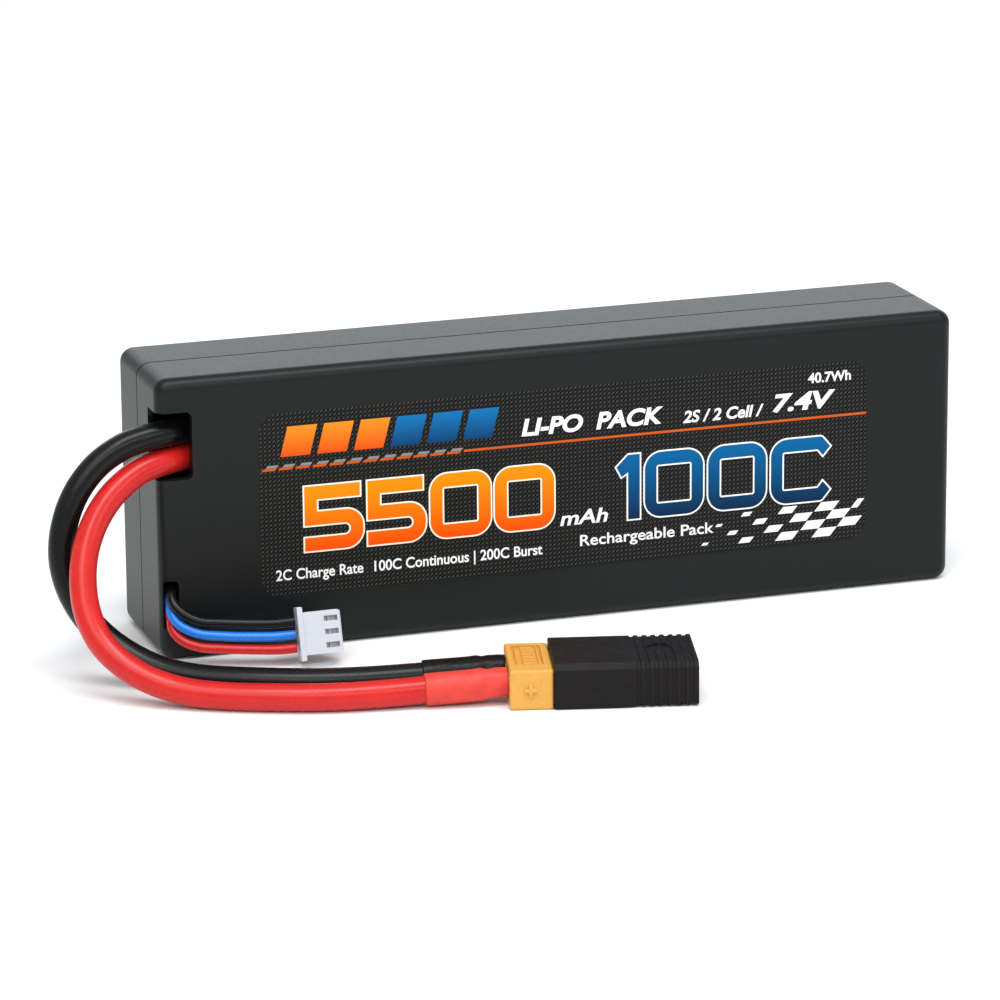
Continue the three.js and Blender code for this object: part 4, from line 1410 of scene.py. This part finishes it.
class PACK_OT_cells(bpy.types.Operator):
    """Lay the two pouch cells in the case, with their tabs, tape, foam, board and solder joints"""

    bl_idname = "object.pack_cells"
    bl_label = "Cells and Board"

    def execute(self, context):
        settings = context.scene.pack_cells
        foil, foam = crinkled_foil(settings.foil), open_foam(settings.foam)
        aluminium = metal("rolled_aluminium", linear("#c4c7ca"), 0.36, 0.6, 0.006)
        nickel = metal("rolled_nickel", linear("#a8a294"), 0.32, 0.6, 0.006)
        for half in ("front", "back"):
            cell, pad = f"cell_{half}", f"foam_pad_{half}"
            hand_over(self.cell(f"pouch_{half}", cell, settings), foil, [cell])
            for pole, look, slot in [
                ("positive", aluminium, "aluminium_tab"), ("negative", nickel, "nickel_tab")
            ]:
                node = f"cell_{half}_tab_{pole}"
                hand_over(self.tab(f"tab_{half}_{pole}", node, half), look, [node])
            hand_over(self.slab(f"pad_{half}", pad, 0.25), foam, [pad])
        hand_over(self.slab("end_cushion", "end_foam", 0.6), foam, ["end_foam"])
        tape = acrylic_tape(linear("#d9c27a"))
        hand_over(self.slab("cell_adhesive", "cell_tape", 0.15), tape, ["cell_tape"])
        hand_over(self.board(), glass_laminate(settings.laminate), ["tab_board"])
        solder = metal("tin_solder", linear("#b4b6b8"), 0.26, 0.5, 0.01)
        for name in ("red", "black", "balance_red", "balance_blue", "balance_black"):
            node = f"solder_joint_{name}"
            hand_over(self.joint(f"solder_{name}", node), solder, [node])
        return {"FINISHED"}

    def cell(self, name, node, settings):
        """A pouch: a pillow with rounded edges and a thin sealed flap where the tabs come out."""
        low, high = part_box(node)
        flap, seal = 4.0 * MM, 0.5 * MM
        middle = (low.y + high.y) / 2
        made = box(name, (low.x + flap, low.y, low.z), high)
        bpy.ops.mesh.select_all(action="SELECT")
        round_edges(settings.round, 5)
        near = (low.x, middle - seal, low.z + 0.6 * MM)
        terrace = box("terrace", near, (low.x + 6 * MM, middle + seal, high.z - 0.6 * MM))
        pick("EDGE", lambda edge: runs(edge, Y_AXIS) and centre(edge).x < low.x + MM)
        round_edges(1.5 * MM, 4)
        combine(made, soften(terrace, 0.15 * MM, 2), "UNION")
        return smooth(made, 40)

    def tab(self, name, node, half):
        """A strip that comes off the terrace and folds flat along the board."""
        low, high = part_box(node)
        thick = 0.3 * MM
        side = -1 if half == "front" else 1
        root = high.y if side < 0 else low.y
        near, far = sorted((root, root + side * thick))
        made = box(name, (low.x, near, low.z), (high.x, far, high.z))
        slice_at(X_AXIS, low.x + thick)
        pick("FACE", lambda face: face.normal.y * side > 0.99 and centre(face).x < low.x + thick)
        extrude(y=(low.y if side < 0 else high.y) - root - side * thick)

        def at_fold(edge):
            return runs(edge, Z_AXIS) and at(centre(edge).x, low.x) and at(centre(edge).y, root)

        pick("EDGE", at_fold)
        round_edges(0.25 * MM, 4)
        soften(made, 0.04 * MM, 1, 60)
        return smooth(made)

    def slab(self, name, node, radius):
        """A cut sheet with softly rounded edges."""
        low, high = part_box(node)
        made = box(name, low, high)
        thin = min(range(3), key=lambda k: high[k] - low[k])
        round_along(thin, 1.2 * MM, 4)
        soften(made, radius * MM * 0.7, 3, 60)
        return smooth(made)

    def board(self):
        """The tab board, with round corners and two holes through it."""
        low, high = BOARD_LOW, BOARD_HIGH
        made = box("joining_board", low, high)
        round_along(X_AXIS, 1.0 * MM, 5)
        for z in (18.5, 26.0):
            hole = rod("hole", (low.x - MM, 6.5 * MM, z * MM), (1, 0, 0), 4 * MM, 0.8 * MM, 24)
            combine(made, hole)
        soften(made, 0.08 * MM, 2, 50)
        return smooth(made)

    def joint(self, name, node):
        """A domed solder joint, its foot spread on the board."""
        low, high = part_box(node)
        radius, rise = (high.y - low.y) / 2 / MM, (high.x - low.x) / MM
        steps = 7
        dome = [(0, 0), (0, radius)]
        for i in range(1, steps + 1):
            share = i / steps
            dome.append((-rise * share, radius * (1 - 0.55 * share ** 1.6)))
        dome.append((-rise, 0))
        start = Vector((high.x, (low.y + high.y) / 2, (low.z + high.z) / 2))
        made = turned(name, dome, start, steps=32)
        return smooth(made, 60)


# Panel and registration

OPERATORS = (
    PACK_OT_stage, PACK_OT_leads, PACK_OT_case, PACK_OT_label, PACK_OT_plug, PACK_OT_adapter,
    PACK_OT_balance, PACK_OT_cells,
)
SETTINGS = {
    "pack_stage": PackStageSettings, "pack_leads": PackLeadSettings, "pack_case": PackCaseSettings,
    "pack_label": PackLabelSettings, "pack_plug": PackPlugSettings, "pack_adapter": PackAdapterSettings,
    "pack_balance": PackBalanceSettings, "pack_cells": PackCellSettings,
}


class PACK_PT_panel(bpy.types.Panel):
    """Lists the pieces of the pack and their settings"""

    bl_label = "Battery Pack"
    bl_idname = "PACK_PT_panel"
    bl_space_type = "VIEW_3D"
    bl_region_type = "UI"
    bl_category = "Battery Pack"

    def draw(self, context):
        for operator, name in zip(OPERATORS, SETTINGS):
            part = self.layout.box()
            part.operator(operator.bl_idname)
            settings = getattr(context.scene, name)
            for field in SETTINGS[name].__annotations__:
                part.prop(settings, field)


def register():
    for group in (*SETTINGS.values(), *OPERATORS, PACK_PT_panel):
        bpy.utils.register_class(group)
    for name, group in SETTINGS.items():
        setattr(bpy.types.Scene, name, bpy.props.PointerProperty(type=group))


def unregister():
    for name in SETTINGS:
        delattr(bpy.types.Scene, name)
    for group in (PACK_PT_panel, *reversed(OPERATORS), *SETTINGS.values()):
        bpy.utils.unregister_class(group)


def main():
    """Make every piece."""
    register()
    for operator in OPERATORS:
        category, name = operator.bl_idname.split(".")
        getattr(getattr(bpy.ops, category), name)()
    leave_edit()


if __name__ == "__main__":
    main()
